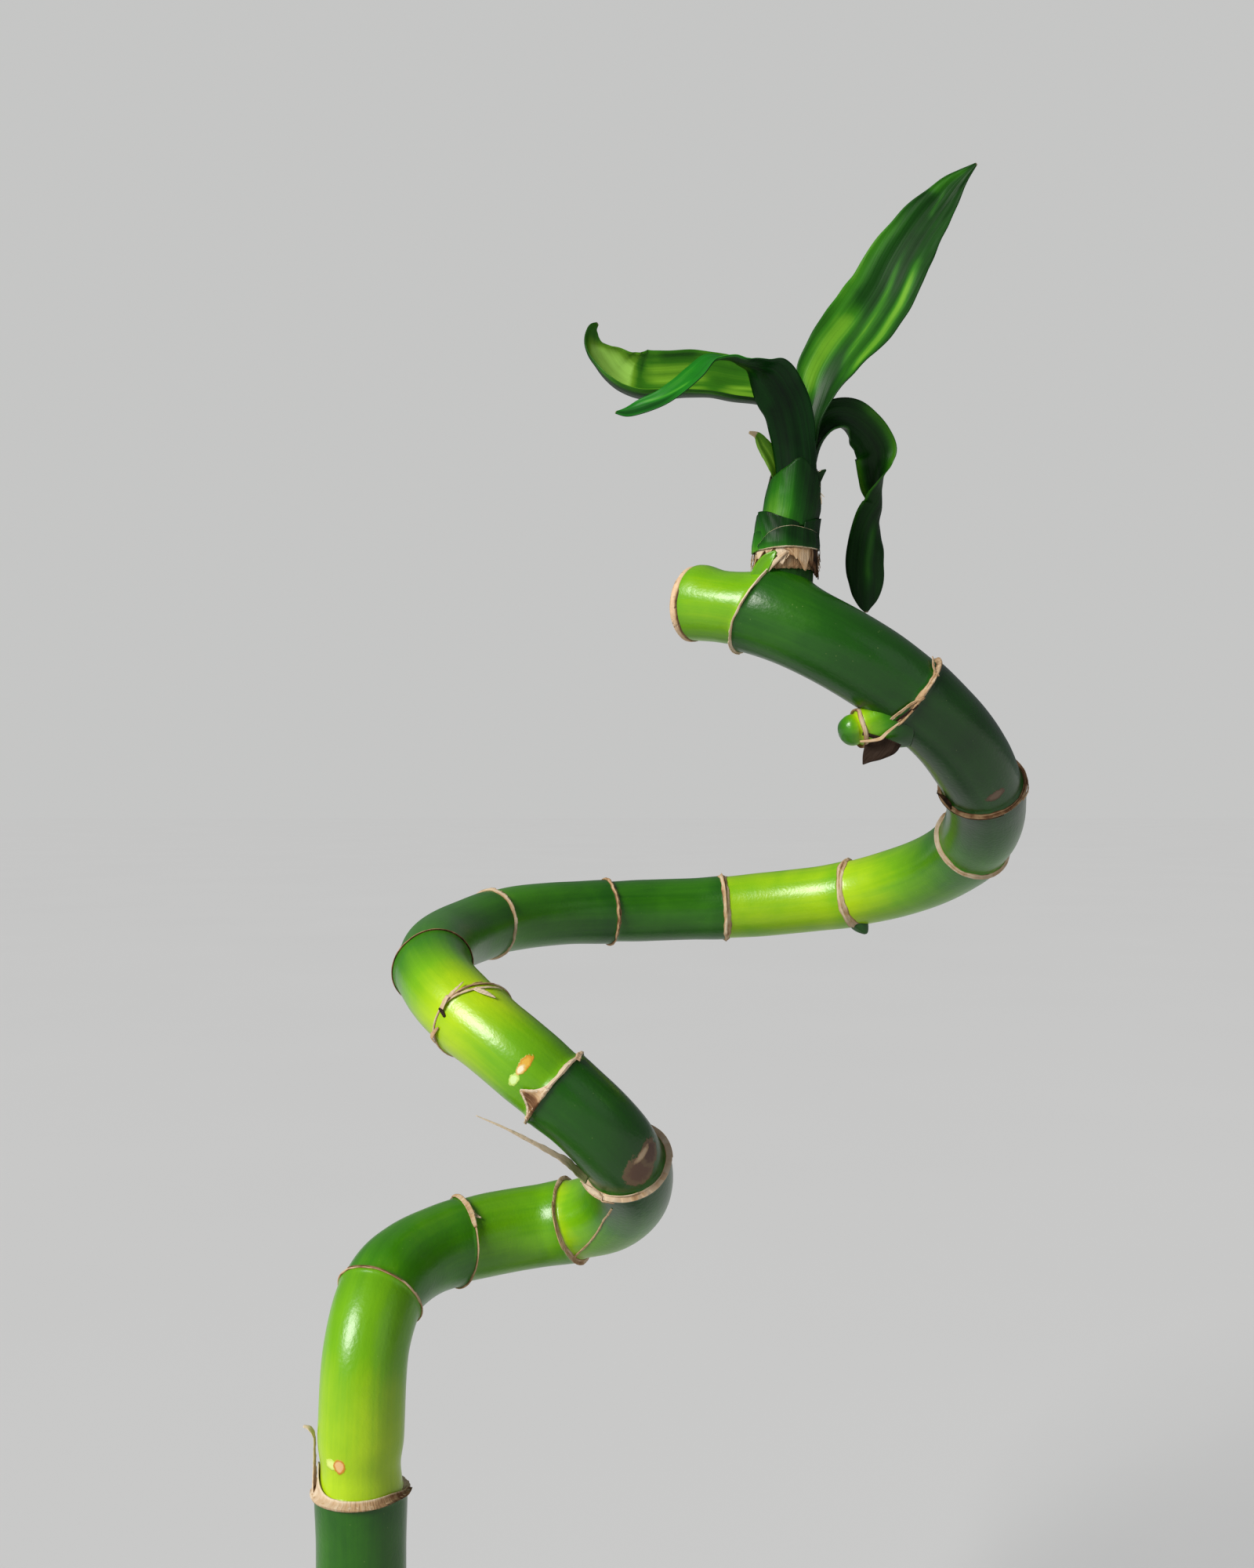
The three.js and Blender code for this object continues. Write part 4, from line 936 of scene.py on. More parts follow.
def specks_group():
    """Small round specks, as a mask: Scale is specks a metre and Share how much of their cells they fill."""
    n, given, result = new_group("small specks", {"Grain": None, "Scale": 700.0, "Share": 0.2}, ["Mask"])
    cells = n.add("ShaderNodeTexVoronoi", {"Vector": given["Grain"], "Scale": given["Scale"]})
    chosen = n.noise(given["Grain"], n.times(given["Scale"], 0.31), 1.0)
    near = n.stretch(cells.outputs["Distance"], given["Share"], n.times(given["Share"], 0.6))
    n.feed(result["Mask"], n.times(near, n.stretch(chosen, 0.5, 0.6)))
    return n.tree


def mark_group():
    """One scar on the skin, as a mask over all of it and a mask over its middle."""
    n, given, result = new_group("skin mark", {"Grain": None, "Centre": None, "Long": 0.001, "Wide": 0.001},
                                 ["Whole", "Middle"])
    offset = n.measure("SUBTRACT", given["Grain"], given["Centre"]).outputs[0]
    parts = n.add("ShaderNodeSeparateXYZ", {0: offset}).outputs
    level = n.add("ShaderNodeCombineXYZ", {0: parts[0], 1: parts[1]}).outputs[0]
    across = n.sum("DIVIDE", n.measure("LENGTH", level).outputs["Value"], given["Wide"])
    along = n.sum("DIVIDE", parts[2], given["Long"])
    both = n.add("ShaderNodeCombineXYZ", {0: across, 1: along}).outputs[0]
    ragged = n.vary(n.noise(given["Grain"], 1500.0, 2.0), 0.7)
    near = n.sum("ADD", n.measure("LENGTH", both).outputs["Value"], ragged)
    n.feed(result["Whole"], n.stretch(near, 1.08, 0.92))
    n.feed(result["Middle"], n.stretch(near, 0.8, 0.55))
    return n.tree


FIBRES = fibres_group()
MOTTLE = mottle_group()
SPECKS = specks_group()
MARK = mark_group()


def material(name):
    made = bpy.data.materials.new(name)
    made.use_nodes = True
    made.node_tree.nodes.clear()
    return made, Nodes(made.node_tree)


def finish_material(made, n, shader):
    output = n.add("ShaderNodeOutputMaterial")
    n.feed(output.inputs["Surface"], shader)
    return made


def cane_material():
    """Glossy cane: green by internode, finely dimpled, with pale dots, brown beside its rings, and scars."""
    made, n = material("cane skin")
    grain = n.grain()
    fibres = n.group(FIBRES, Grain=grain, Across=1100.0, Along=40.0)
    mottle = n.group(MOTTLE, Grain=grain, Scale=90.0)["Shade"]
    dimples = n.noise(grain, 1400.0, 2.0)
    shade = n.add_up(n.value("tone"), n.vary(mottle, 0.24), n.vary(fibres["Broad"], 0.16),
                     n.vary(fibres["Fine"], 0.12))
    colour = n.ramp(n.stretch(shade, 0, 1), CANE_COLOURS)
    specks = n.group(SPECKS, Grain=grain, Scale=900.0, Share=0.1)["Mask"]
    colour = n.blend(n.times(specks, 0.18), colour, CANE_DOTS)
    edge = n.stretch(n.add_up(n.value("near_ring"), n.vary(fibres["Fine"], 0.5)), 0.55, 0.95)
    colour = n.blend(n.times(edge, 0.8), colour, RING_BROWN)
    scarred = 0.0
    for distance, towards, half_length, half_width, rim, middle in MARKS:
        turn = math.radians(towards)
        place = (SKIN_RADIUS * math.cos(turn), SKIN_RADIUS * math.sin(turn), distance)
        centre = [value * MM for value in place]
        mark = n.group(MARK, Grain=grain, Centre=centre, Long=half_length * MM, Wide=half_width * MM)
        colour = n.blend(mark["Whole"], colour, n.blend(mark["Middle"], rim, middle))
        scarred = n.sum("MAXIMUM", scarred, mark["Whole"])
    dull = n.sum("MAXIMUM", edge, scarred)
    height = n.add_up(dimples, n.times(mottle, 1.5), n.times(fibres["Fine"], 0.4), n.times(scarred, 1.5))
    rough = n.stretch(n.add_up(dull, n.vary(mottle, 0.12)), 0, 1, 0.28, 0.6)
    others = {"Normal": n.bump(height, 0.00008, 0.6), "Specular IOR Level": 0.42}
    return finish_material(made, n, n.principled(colour, rough, others))


def leaf_material():
    """Satin leaf: dark to pale green, partly emerald, finely veined, letting a little light through."""
    made, n = material("leaf blade")
    grain = n.grain()
    fibres = n.group(FIBRES, Grain=grain, Across=1700.0, Along=18.0)
    mottle = n.group(MOTTLE, Grain=grain, Scale=160.0)["Shade"]
    shade = n.add_up(n.value("tone"), n.vary(fibres["Fine"], 0.2), n.vary(fibres["Broad"], 0.3),
                     n.vary(mottle, 0.14))
    shade = n.stretch(shade, 0, 1)
    colour = n.blend(n.value("cool"), n.ramp(shade, LEAF_COLOURS), n.ramp(shade, EMERALD_COLOURS))
    dry = n.stretch(n.add_up(n.value("dry"), n.times(fibres["Fine"], 0.5)), 0.7, 0.95)
    colour = n.blend(dry, colour, n.ramp(fibres["Broad"], DRY_LEAF_COLOURS))
    normal = n.bump(n.add_up(fibres["Fine"], n.times(fibres["Broad"], 1.4)), 0.00016, 0.5)
    rough = n.stretch(fibres["Fine"], 0, 1, 0.32, 0.46)
    surface = n.principled(colour, rough, {"Normal": normal, "Specular IOR Level": 0.2})
    glow = n.blend(1.0, colour, LEAF_GLOW, "MULTIPLY")
    through = n.add("ShaderNodeBsdfTranslucent", {"Color": glow, "Normal": normal}).outputs[0]
    return finish_material(made, n, n.mix(0.22, surface, through))


def paper_material():
    """Dry sheath: cream, tan and brown papery fibres, still green in places."""
    made, n = material("dry sheath")
    grain = n.grain()
    fibres = n.group(FIBRES, Grain=grain, Across=2600.0, Along=240.0)
    mottle = n.group(MOTTLE, Grain=grain, Scale=420.0)["Shade"]
    # The paleness value is the sheath's own bleaching, and on the darkest pieces it is painted shade
    shade = n.add_up(n.times(fibres["Fine"], 0.55), n.times(mottle, 0.55), n.value("bleach_and_painted_shade"))
    colour = n.blend(n.value("fresh"), n.ramp(shade, PAPER_COLOURS), FRESH_SHEATH)
    normal = n.bump(n.add_up(fibres["Fine"], mottle), 0.0003, 0.8)
    rough = n.stretch(mottle, 0, 1, 0.6, 0.9)
    surface = n.principled(colour, rough, {"Normal": normal, "Specular IOR Level": 0.3})
    through = n.add("ShaderNodeBsdfTranslucent", {"Color": colour}).outputs[0]
    return finish_material(made, n, n.mix(0.3, surface, through))


def cut_material():
    """The dried cut through the cane: brown rind, pale pith and the dots of its bundles."""
    made, n = material("cut cane")
    grain = n.grain()
    mottle = n.group(MOTTLE, Grain=grain, Scale=600.0)["Shade"]
    specks = n.group(SPECKS, Grain=grain, Scale=1300.0, Share=0.4)["Mask"]
    shade = n.stretch(n.add_up(n.value("rind"), n.vary(mottle, 0.6)), 0, 1)
    dotted = n.times(specks, n.stretch(shade, 0.1, 0.3, 0.0, 0.6))
    colour = n.blend(dotted, n.ramp(shade, CUT_COLOURS), CUT_DOTS)
    normal = n.bump(n.sum("SUBTRACT", mottle, specks), 0.0004, 0.7)
    surface = n.principled(colour, n.stretch(mottle, 0, 1, 0.7, 0.9), {"Normal": normal})
    return finish_material(made, n, surface)


def glaze_material():
    """Speckled off-white glaze over bare clay at the foot."""
    made, n = material("vase glaze")
    grain = n.grain()
    mottle = n.group(MOTTLE, Grain=grain, Scale=28.0)["Shade"]
    specks = n.group(SPECKS, Grain=grain, Scale=330.0, Share=0.22)["Mask"]
    dust = n.group(SPECKS, Grain=grain, Scale=900.0, Share=0.2)["Mask"]
    glaze = n.blend(n.times(specks, 0.75), n.ramp(mottle, GLAZE_COLOURS), GLAZE_SPECKS)
    glaze = n.blend(n.times(dust, 0.5), glaze, GLAZE_DUST)
    clay = n.ramp(n.group(MOTTLE, Grain=grain, Scale=500.0)["Shade"], CLAY_COLOURS)
    bare = n.stretch(n.add_up(n.value("bare"), n.vary(mottle, 0.4)), 0.42, 0.55)
    colour = n.blend(n.times(n.value("worn"), 0.6), glaze, GLAZE_WORN)
    surface = n.principled(n.blend(bare, colour, clay), n.stretch(bare, 0, 1, 0.3, 0.85), {
        "Normal": n.bump(n.add_up(mottle, n.times(n.value("ribs"), 0.4)), 0.0006, 0.35),
        "Coat Weight": n.stretch(bare, 0, 1, 0.5, 0.0), "Coat Roughness": 0.15,
    })
    return finish_material(made, n, surface)


def pebble_material():
    """River pebbles, each of its own shade, with specks and a damp sheen."""
    made, n = material("pebbles")
    grain = n.grain()
    mottle = n.group(MOTTLE, Grain=grain, Scale=190.0)["Shade"]
    specks = n.group(SPECKS, Grain=grain, Scale=1500.0, Share=0.35)["Mask"]
    shade = n.stretch(n.add_up(n.value("tone"), n.vary(mottle, 0.5)), 0, 1)
    colour = n.blend(n.times(specks, 0.45), n.ramp(shade, STONE_COLOURS), STONE_SPECKS)
    normal = n.bump(n.add_up(mottle, specks), 0.0002, 0.4)
    surface = n.principled(colour, n.stretch(mottle, 0, 1, 0.35, 0.65), {"Normal": normal})
    return finish_material(made, n, surface)


def floor_material():
    made, n = material("pale floor")
    place = n.add("ShaderNodeTexCoord").outputs["Object"]
    colour = n.ramp(n.noise(place, 3.0, 3.0), [(0.3, FLOOR["low"]), (0.7, FLOOR["high"])])
    return finish_material(made, n, n.principled(colour, 0.8, {"Specular IOR Level": 0.2}))


def paper(shade, fresh=0.0):
    return {"bleach_and_painted_shade": shade, "fresh": 0 * shade + fresh}


def green(tone, dry=0.0, cool=0.0):
    return {"tone": tone, "dry": 0 * tone + dry, "cool": 0 * tone + cool}


# Pieces of the cane

def cane_shape():
    angles = np.linspace(0, 2 * np.pi, CANE_SIDES, endpoint=False)
    rows = []
    for i in range(len(RINGS) + 1):
        low = ring_at(i - 1, angles) if i else 0 * angles
        high = ring_at(i, angles) if i < len(RINGS) else 0 * angles + SKIN_END
        count = max(6, round(float((high - low).mean()) / CANE_STEP))
        share = np.linspace(0, 1, count, endpoint=False)
        closer = share - ROW_CROWDING * np.sin(2 * np.pi * share) / (2 * np.pi)
        rows.append(low + (high - low) * closer[:, None])
    distance = np.vstack(rows + [0 * angles[None] + SKIN_END])
    angle = angles + 0 * distance
    index, along, nearest = internode(distance, angle)
    # The internode tones carry painted light and shade as well as the cane's own tone
    tones = np.array(INTERNODE_TONES_AND_PAINTED_LIGHT)[index]
    tone = tones[..., 0] + (tones[..., 1] - tones[..., 0]) * smooth(along)
    above = RING_TONES["above"] * np.exp(-along * RING_TONES["fades"]) * (index > 0)
    below = RING_TONES["below"] * smooth((along - RING_TONES["from"]) / RING_TONES["over"])
    tone = np.clip(tone + (above - below), *TONE_LIMITS)
    grain = np.stack([SKIN_RADIUS * np.cos(angle), SKIN_RADIUS * np.sin(angle), distance], -1)
    stain = np.exp(-nearest / RING_TONES["stain"])
    return closed_tube(on_cane(distance, angle), grain=grain, tone=tone, near_ring=stain)


def cut_shape():
    """The cut top: a pale rim with a brown line at its edge, and a slightly sunken, uneven face."""
    angles = np.linspace(0, 2 * np.pi, CANE_SIDES, endpoint=False)
    end, way = on_track(CANE_LENGTH, 1), on_track(CANE_LENGTH, 4)
    radius = cane_radius(CANE_LENGTH + 0 * angles, angles)
    out = outward(CANE_LENGTH + 0 * angles, angles)
    edge = waves(angles, SEEDS["cut_edge"], CUT_WOBBLE["edge"], (2, 5, 9, 14))
    rows, rinds = [], []
    for i, (share, rise, rind) in enumerate(CUT_PROFILE):
        rough = CUT_WOBBLE["rim"] if share > CUT_RIM else CUT_WOBBLE["face"]
        reach = radius * share + waves(angles, SEEDS["cut_reach"] + i, rough)
        inner = waves(angles, SEEDS["cut_rise"] + i // 3, CUT_WOBBLE["rise"])
        uneven = edge if i < CUT_EDGE_ROWS else inner
        rows.append(end + out * reach[:, None] + way * (rise + uneven)[:, None])
        rinds.append(rind + waves(angles, SEEDS["cut_rind"] + i // 2, CUT_WOBBLE["rind"], (3, 7, 12, 19)))
    rows = np.array(rows)
    return closed_tube(rows, grain=rows - end, rind=np.array(rinds))


def strand(distance, angle, lift, width, shade, cup=FLAT_CUP):
    """A fibre or strip of dry sheath that follows the cane's skin."""
    centre = on_cane(distance, angle, lift)
    shades = level(shade, centre, 2)
    return thin_body(centre, outward(distance, angle), width, cup, PAPER, 2, **paper(shades))


def loose_fibre(index, k, draw):
    """One loose fibre across a ring, from the ring's own run of draws."""
    pale = RINGS[index][6]
    share = np.linspace(0, 1, LOOSE["points"])
    angle = draw.uniform(0, 2 * np.pi) + share * draw.uniform(*LOOSE["turn"])
    taper = np.sin(np.pi * np.clip(share, 0.02, 0.98)) ** LOOSE["taper"]
    offset = draw.uniform(*LOOSE["stray"]) + draw.uniform(*LOOSE["stray"]) * share
    offset = offset + waves(angle, SEEDS["loose_path"] + 10 * index + k, 0.06)
    raised = LOOSE["lift"] + waves(angle, SEEDS["loose_lift"] + 10 * index + k, 0.04, (3, 5, 9))
    width = LOOSE["width"] + draw.uniform(*LOOSE["wider"]) * taper
    shade = pale + draw.uniform(*LOOSE["shade"])
    return strand(ring_at(index, angle) + offset, angle, raised, width, shade)


def ring_shapes(index):
    """One leaf-scar ring: a papery rim that hugs the skin, brown at its ragged edges, with loose fibres."""
    width, loose, pale = RINGS[index][4:]
    angle = np.linspace(0, 2 * np.pi, RIM["round"], endpoint=False)[:, None]
    across = np.linspace(-1, 1, RIM["across"])[None]
    broken = smooth(0.6 + waves(angle, SEEDS["rim_groove"] + index, 0.5))
    groove = hump(across - RIM["groove_at"], RIM["groove_half"]) * broken
    uneven = waves(angle, SEEDS["rim_width"] + index, 0.32, (1, 3, 5, 9, 16))
    half = width / 2 * np.clip(1 + uneven, *RIM["widths"])
    ragged = waves(angle, SEEDS["rim_edge"] + index, 0.08, (13, 17, 23, 31)) * (across**3 + 0.4)
    distance = ring_at(index, angle) + half * across + ragged
    turn = angle + 0 * across
    lift = RIM["lift"] + RIM["arch"] * (1 - across**2) - RIM["groove_depth"] * groove
    lift = lift + waves(turn, SEEDS["rim_lift"] + index, 0.03, (7, 13, 22, 37))
    shade = pale + RIM["shade"] - RIM["edge_shade"] * across**4 - RIM["groove_shade"] * groove
    shade = shade + waves(turn + 0.3 * across, SEEDS["rim_shade"] + index, 0.09, (3, 8, 15, 27))
    grain = np.stack([half * across, 0 * turn, SKIN_RADIUS * turn], -1)
    under = on_cane(distance, turn, 0 * lift - RIM["sunk"])
    rim = closed_sheet(on_cane(distance, turn, lift), under, loop=True, grain=grain, **paper(shade))
    draw = np.random.RandomState(SEEDS["loose"] + index)
    return [rim] + [loose_fibre(index, k, draw) for k in range(loose)]


def strip(stations, pale):
    """A torn strip from its rooted end to its free, lifted tip."""
    places = [(s, math.radians(a) * SKIN_RADIUS, lift, width) for s, a, lift, width in stations]
    line = evenly(centripetal(places, 20), STRIP["points"])
    share = np.linspace(0, 1, len(line))
    ragged = ripple(share, STRIP["ripples"])
    width = np.maximum(line[:, 3] + ragged, STRIP["least"])
    lift = line[:, 2] + ragged * STRIP["flutter"]
    shade = pale + STRIP["paler"] * share
    return strand(line[:, 0], line[:, 1] / SKIN_RADIUS, lift, width, shade, STRIP["cup"])


def cane_patch(stations, seed):
    outer, inner, grain, shade, up = patch(stations, on_cane, PAPER, crease=0.05, fray=0.07, seed=seed)
    return closed_sheet(outer, inner, grain=grain, **paper(shade + 0.3 * smooth((up - 0.7) / 0.3)))


def free_flap(stations, shade):
    """A flap that hangs free of the skin, facing the front."""
    line = evenly(centripetal(stations, 12), FLAP["points"])
    centre = line[:, :3]
    up = np.zeros_like(centre) + FLAP["faces"]
    shades = level(shade, centre, FLAP["cells"])
    return thin_body(centre, up, line[:, 3], FLAP["cup"], PAPER, FLAP["cells"], **paper(shades))


def bud_shape(bud):
    """A turned bud along its direction, with a little unevenness."""
    angles = np.linspace(0, 2 * np.pi, BUD_MESH["sides"], endpoint=False)
    line = evenly(centripetal([(r, 0, h) for r, h in bud["profile"]], 12), BUD_MESH["rows"])
    reach = line[:, :1] * (1 + waves(angles + line[:, 2:] * 0.1, SEEDS["bud"], bud["lumps"]))
    rows = np.stack([reach * np.cos(angles), reach * np.sin(angles), line[:, 2:] + 0 * angles], -1)
    tone = np.interp(rows[..., 2], *zip(*bud["tones"]))
    return closed_tube(set_on(rows, bud), grain=rows, tone=tone, near_ring=0 * tone)


def set_on(points, bud):
    turn = Vector((0, 0, 1)).rotation_difference(Vector(bud["way"]).normalized()).to_matrix()
    return points @ np.array(turn).T + np.array(bud["root"])


def bud_rim():
    """The papery edge of the scale round the green bud."""
    angle = np.linspace(0, 2 * np.pi, BUD_RIM["round"], endpoint=False)[:, None]
    across = np.linspace(-1, 1, BUD_RIM["across"])[None]
    height = BUD_RIM["height"] + waves(angle, SEEDS["bud_rim_edge"], 0.2) + across * BUD_RIM["width"] / 2
    reach = BUD_RIM["radius"] + BUD_RIM["arch"] * (1 - across**2)
    reach = reach + waves(angle, SEEDS["bud_rim_reach"], 0.06)

    def layer(out):
        rows = np.stack([(reach + out) * np.cos(angle), (reach + out) * np.sin(angle), height], -1)
        return set_on(rows, BUDS["green"])

    grain = np.stack([height, 0 * height, BUD_RIM["radius"] * angle + 0 * height], -1)
    shade = BUD_RIM["shade"] - BUD_RIM["edge_shade"] * across**4 + waves(angle, SEEDS["bud_rim_shade"], 0.08)
    return closed_sheet(layer(PAPER), layer(-BUD_RIM["sunk"]), loop=True, grain=grain, **paper(shade))


# Pieces of the shoot

def core_shape():
    z = np.linspace(SHOOT_SECTIONS[0][0], SHOOT_SECTIONS[-1][0], CORE["rows"])[:, None]
    angle = np.linspace(0, 2 * np.pi, CORE["sides"], endpoint=False)[None] + 0 * z
    rows = on_shoot(z + 0 * angle, angle, waves(angle, SEEDS["core"], CORE["wobble"]))
    reach = CORE["grain_radius"]
    grain = np.stack([reach * np.cos(angle), reach * np.sin(angle), z + 0 * angle], -1)
    return closed_tube(rows, grain=grain, **green(0 * angle + CORE["tone"]))


def sheath(stations, swell, crease, dry_low, dry_high, seed):
    look = SHEATH_LOOK
    low, high = SHEATH_MARGINS["low"], SHEATH_MARGINS["high"]
    outer, inner, grain, shade, up = patch(
        stations, on_shoot, SHEATH, swell, crease, look["fray"], seed, **SHEATH_MESH)
    dry = dry_high * smooth((up - (1 - high)) / high) + dry_low * smooth((low - up) / low)
    tone = np.maximum(shade + look["foot"] - look["fall"] * up, look["darkest"])
    return closed_sheet(outer, inner, grain=grain, **green(tone, dry, look["cool"]))


def along_shoot(stations, count):
    """Points, outward directions and widths of a line that climbs the shoot."""
    rows = [(*on_shoot(z, math.radians(a), lift), width, math.radians(a)) for a, z, lift, width in stations]
    line = evenly(centripetal(rows, 12), count)
    out = np.stack([np.cos(line[:, 4]), np.sin(line[:, 4]), 0 * line[:, 4]], -1)
    return line[:, :3], out, line[:, 3]


def tongue_shape():
    body = TONGUE_BODY
    centre, out, width = along_shoot(TONGUE, body["points"])
    tone = level(body["tone"], centre, body["cells"])
    return thin_body(
        centre, out, width, body["cup"], body["thickness"], body["cells"], tone=tone, near_ring=0 * tone)


def flake_shape(middle, half, point, top, lift, pale, sweep, seed):
    """A papery flake whose lower edge runs down to a torn point, swept to one side."""
    deep = top - point
    at = middle + sweep * half
    tucked = max(lift - 0.35, 0.3)
    stations = [
        (middle - half, top - 0.4 * deep, top - 0.2, lift - 0.15, tucked, pale - 0.15),
        ((middle - half + at) / 2, point + 0.45 * deep, top, lift, tucked, pale),
        (at, point, top + 0.2, lift + 0.2, tucked, pale + 0.05),
        ((middle + half + at) / 2, point + 0.4 * deep, top, lift + 0.05, tucked, pale),
        (middle + half, top - 0.35 * deep, top - 0.2, lift - 0.15, tucked, pale - 0.15),
    ]
    outer, inner, grain, shade, up = patch(
        stations, on_shoot, PAPER, crease=0.14, fray=0.16, seed=seed, **FLAKE_MESH)
    swept = grain[..., 0] / SKIN_RADIUS + 0.05 * sweep * up
    shade = shade + waves(swept, SEEDS["flake_shade"] + seed, 0.1, (29, 43, 67))
    return closed_sheet(outer, inner, grain=grain, **paper(shade - 0.1 * smooth((0.2 - up) / 0.2)))


def collar_shapes():
    """Ragged flakes and loose fibres of dry sheath round the foot of the shoot, over a thin inner band."""
    band = INNER_BAND
    stations = [(a, band["low"], band["high"], *band["lifts"], band["shade"]) for a in range(0, 356, 71)]
    outer, inner, grain, shade, _ = patch(
        stations, on_shoot, PAPER, fray=band["fray"], columns=band["columns"])
    shapes = [closed_sheet(outer, inner, grain=grain, **paper(shade))]
    shapes += [flake_shape(*flake, seed=k) for k, flake in enumerate(FLAKES)]
    edge = TONGUE_EDGE_BODY
    centre, out, widths = along_shoot(TONGUE_EDGE, edge["points"])
    shades = level(edge["shade"], centre, edge["cells"])
    shapes.append(thin_body(centre, out, widths, edge["cup"], PAPER, edge["cells"], **paper(shades)))
    draw = np.random.RandomState(COLLAR_FIBRES["seed"])
    return shapes + [collar_fibre(draw) for _ in range(COLLAR_FIBRES["count"])]


def collar_fibre(draw):
    """One loose fibre on the collar, from the run of draws that all of them share."""
    fibre = COLLAR_FIBRES
    start = draw.uniform(0, 360)
    low, drift, rise, width = (draw.uniform(*fibre[key]) for key in ("low", "drift", "rise", "width"))
    foot_lift, middle_lift, tip_lift = fibre["lifts"]
    stations = [
        (start, low, foot_lift, fibre["tip"]),
        (start + 0.4 * drift, low + 0.5 * rise, middle_lift, width),
        (start + drift, low + rise, tip_lift, fibre["tip"]),
    ]
    centre, out, widths = along_shoot(stations, fibre["points"])
    shades = level(draw.uniform(*fibre["shade"]), centre, 1)
    return thin_body(centre, out, widths, FLAT_CUP, THREAD, 1, **paper(shades))


# Leaves and loose dry strips

def blade_frame(name, steps):
    line = evenly(centripetal(BLADES[name]), steps + 1)
    centre = line[:, :3]
    tangent = unit(np.gradient(centre, axis=0))
    front = np.array([0, -1.0, 0])
    face = unit(front - tangent * (tangent @ front)[:, None])
    turn = np.radians(line[:, 5])[:, None]
    up = face * np.cos(turn) + np.cross(tangent, face) * np.sin(turn)
    return centre, up, line[:, 3], line[:, 4]


def streak_tone(finish, along, across, face):
    tone = np.zeros_like(along * across) + finish[face]
    for start, end, from_place, to_place, half, strength, shown in finish["streaks"]:
        if shown not in ("both", face):
            continue
        share = (along - start) / (end - start)
        place = from_place + (to_place - from_place) * share
        fade = smooth(share * STREAK_FADES[0]) * smooth((1 - share) * STREAK_FADES[1])
        tone = tone + strength * fade * hump(across - place, half)
    return np.clip(tone, *TONE_LIMITS)


def leaf_shape(name):
    finish = LEAF_FINISH[name]
    steps, cells = LEAF_MESH["steps"], LEAF_MESH["cells"]
    centre, up, widths, cups = blade_frame(name, steps)
    along = np.linspace(0, 1, steps + 1)[:, None]
    across = np.linspace(-1, 1, 2 * cells + 1)[None]
    widths = np.maximum(widths, LEAST_WIDTH) * ripple(along[:, 0], LEAF_RIPPLES, 1)
    breadth = np.clip(widths / FULL_WIDTH, 0, 1)[:, None]
    midrib = MIDRIB["depth"] * breadth * hump(across, MIDRIB["half"])
    pleats = finish["pleat"] * np.cos(across * np.pi * PLEATS) * breadth - midrib
    waved = np.sin(along * MARGIN_WAVES["along"] + across * MARGIN_WAVES["across"])
    edge = finish["wave"] * across**4 * waved * breadth
    start, over, most = DRY_TIPS.get(name, LEAF_TIP)
    dry = most * smooth((along - start) / over) + 0 * across
    tone = tuple(streak_tone(finish, along, across, face) for face in ("upper", "lower"))
    return thin_body(centre, up, widths, cups, LEAF, cells, relief=pleats + edge, tone=tone, dry=dry,
                     cool=0 * dry + finish["cool"])


def bract_right_shape():
    bract = BRACT_RIGHT
    centre, up, widths, cups = blade_frame("bract_right", bract["steps"])
    tone = level(bract["tone"], centre, bract["cells"])
    return thin_body(centre, up, widths, cups, LEAF, bract["cells"], **green(tone))


def dry_strip_shape(name):
    """A loose dry strip, some of them still green near the root."""
    fresh_end, pale = DRY_STRIPS[name]
    steps, cells = DRY_STRIP["steps"], DRY_STRIP["cells"]
    centre, up, widths, cups = blade_frame(name, steps)
    share = np.linspace(0, 1, steps + 1)
    ragged = ripple(share, DRY_STRIP["ripples"], 1)
    shade = level(pale + 0.2 * smooth(share * 2), centre, cells)
    fresh = level(DRY_STRIP["green"] * smooth((fresh_end - share) / DRY_STRIP["fades"]), centre, cells)
    return thin_body(centre, up, widths * ragged, cups, PAPER, cells, **paper(shade, fresh))


def hair_shapes():
    """Thin white threads on the right of the shoot."""
    shapes = []
    for line in HAIRS:
        centre = evenly(centripetal(line), HAIR["points"])
        shades = level(HAIR["shade"], centre, 1)
        out = np.zeros_like(centre) + HAIR["faces"]
        widths = np.linspace(*HAIR["widths"], HAIR["points"])
        shapes.append(thin_body(centre, out, widths, FLAT_CUP, THREAD, 1, **paper(shades)))
    return shapes


# The vase and its pebbles

def bore(z):
    start = VASE["floor"] + VASE["foot_round"]
    along = (z - start) / (VASE["height"] - VASE["lip_round"] - start)
    return VASE["foot"] + (VASE["rim"] - VASE["foot"]) * along - VASE["wall"]


def arc(cx, cz, radius, start, end):
    turns = np.radians(np.linspace(start, end, VASE_ROWS["rounding"]))
    return [(cx + radius * math.cos(t), cz + radius * math.sin(t)) for t in turns]


def straight(a, b, count):
    a, b = np.array(a), np.array(b)
    return [tuple(a + (b - a) * t) for t in np.linspace(0, 1, count + 2)[1:-1]]


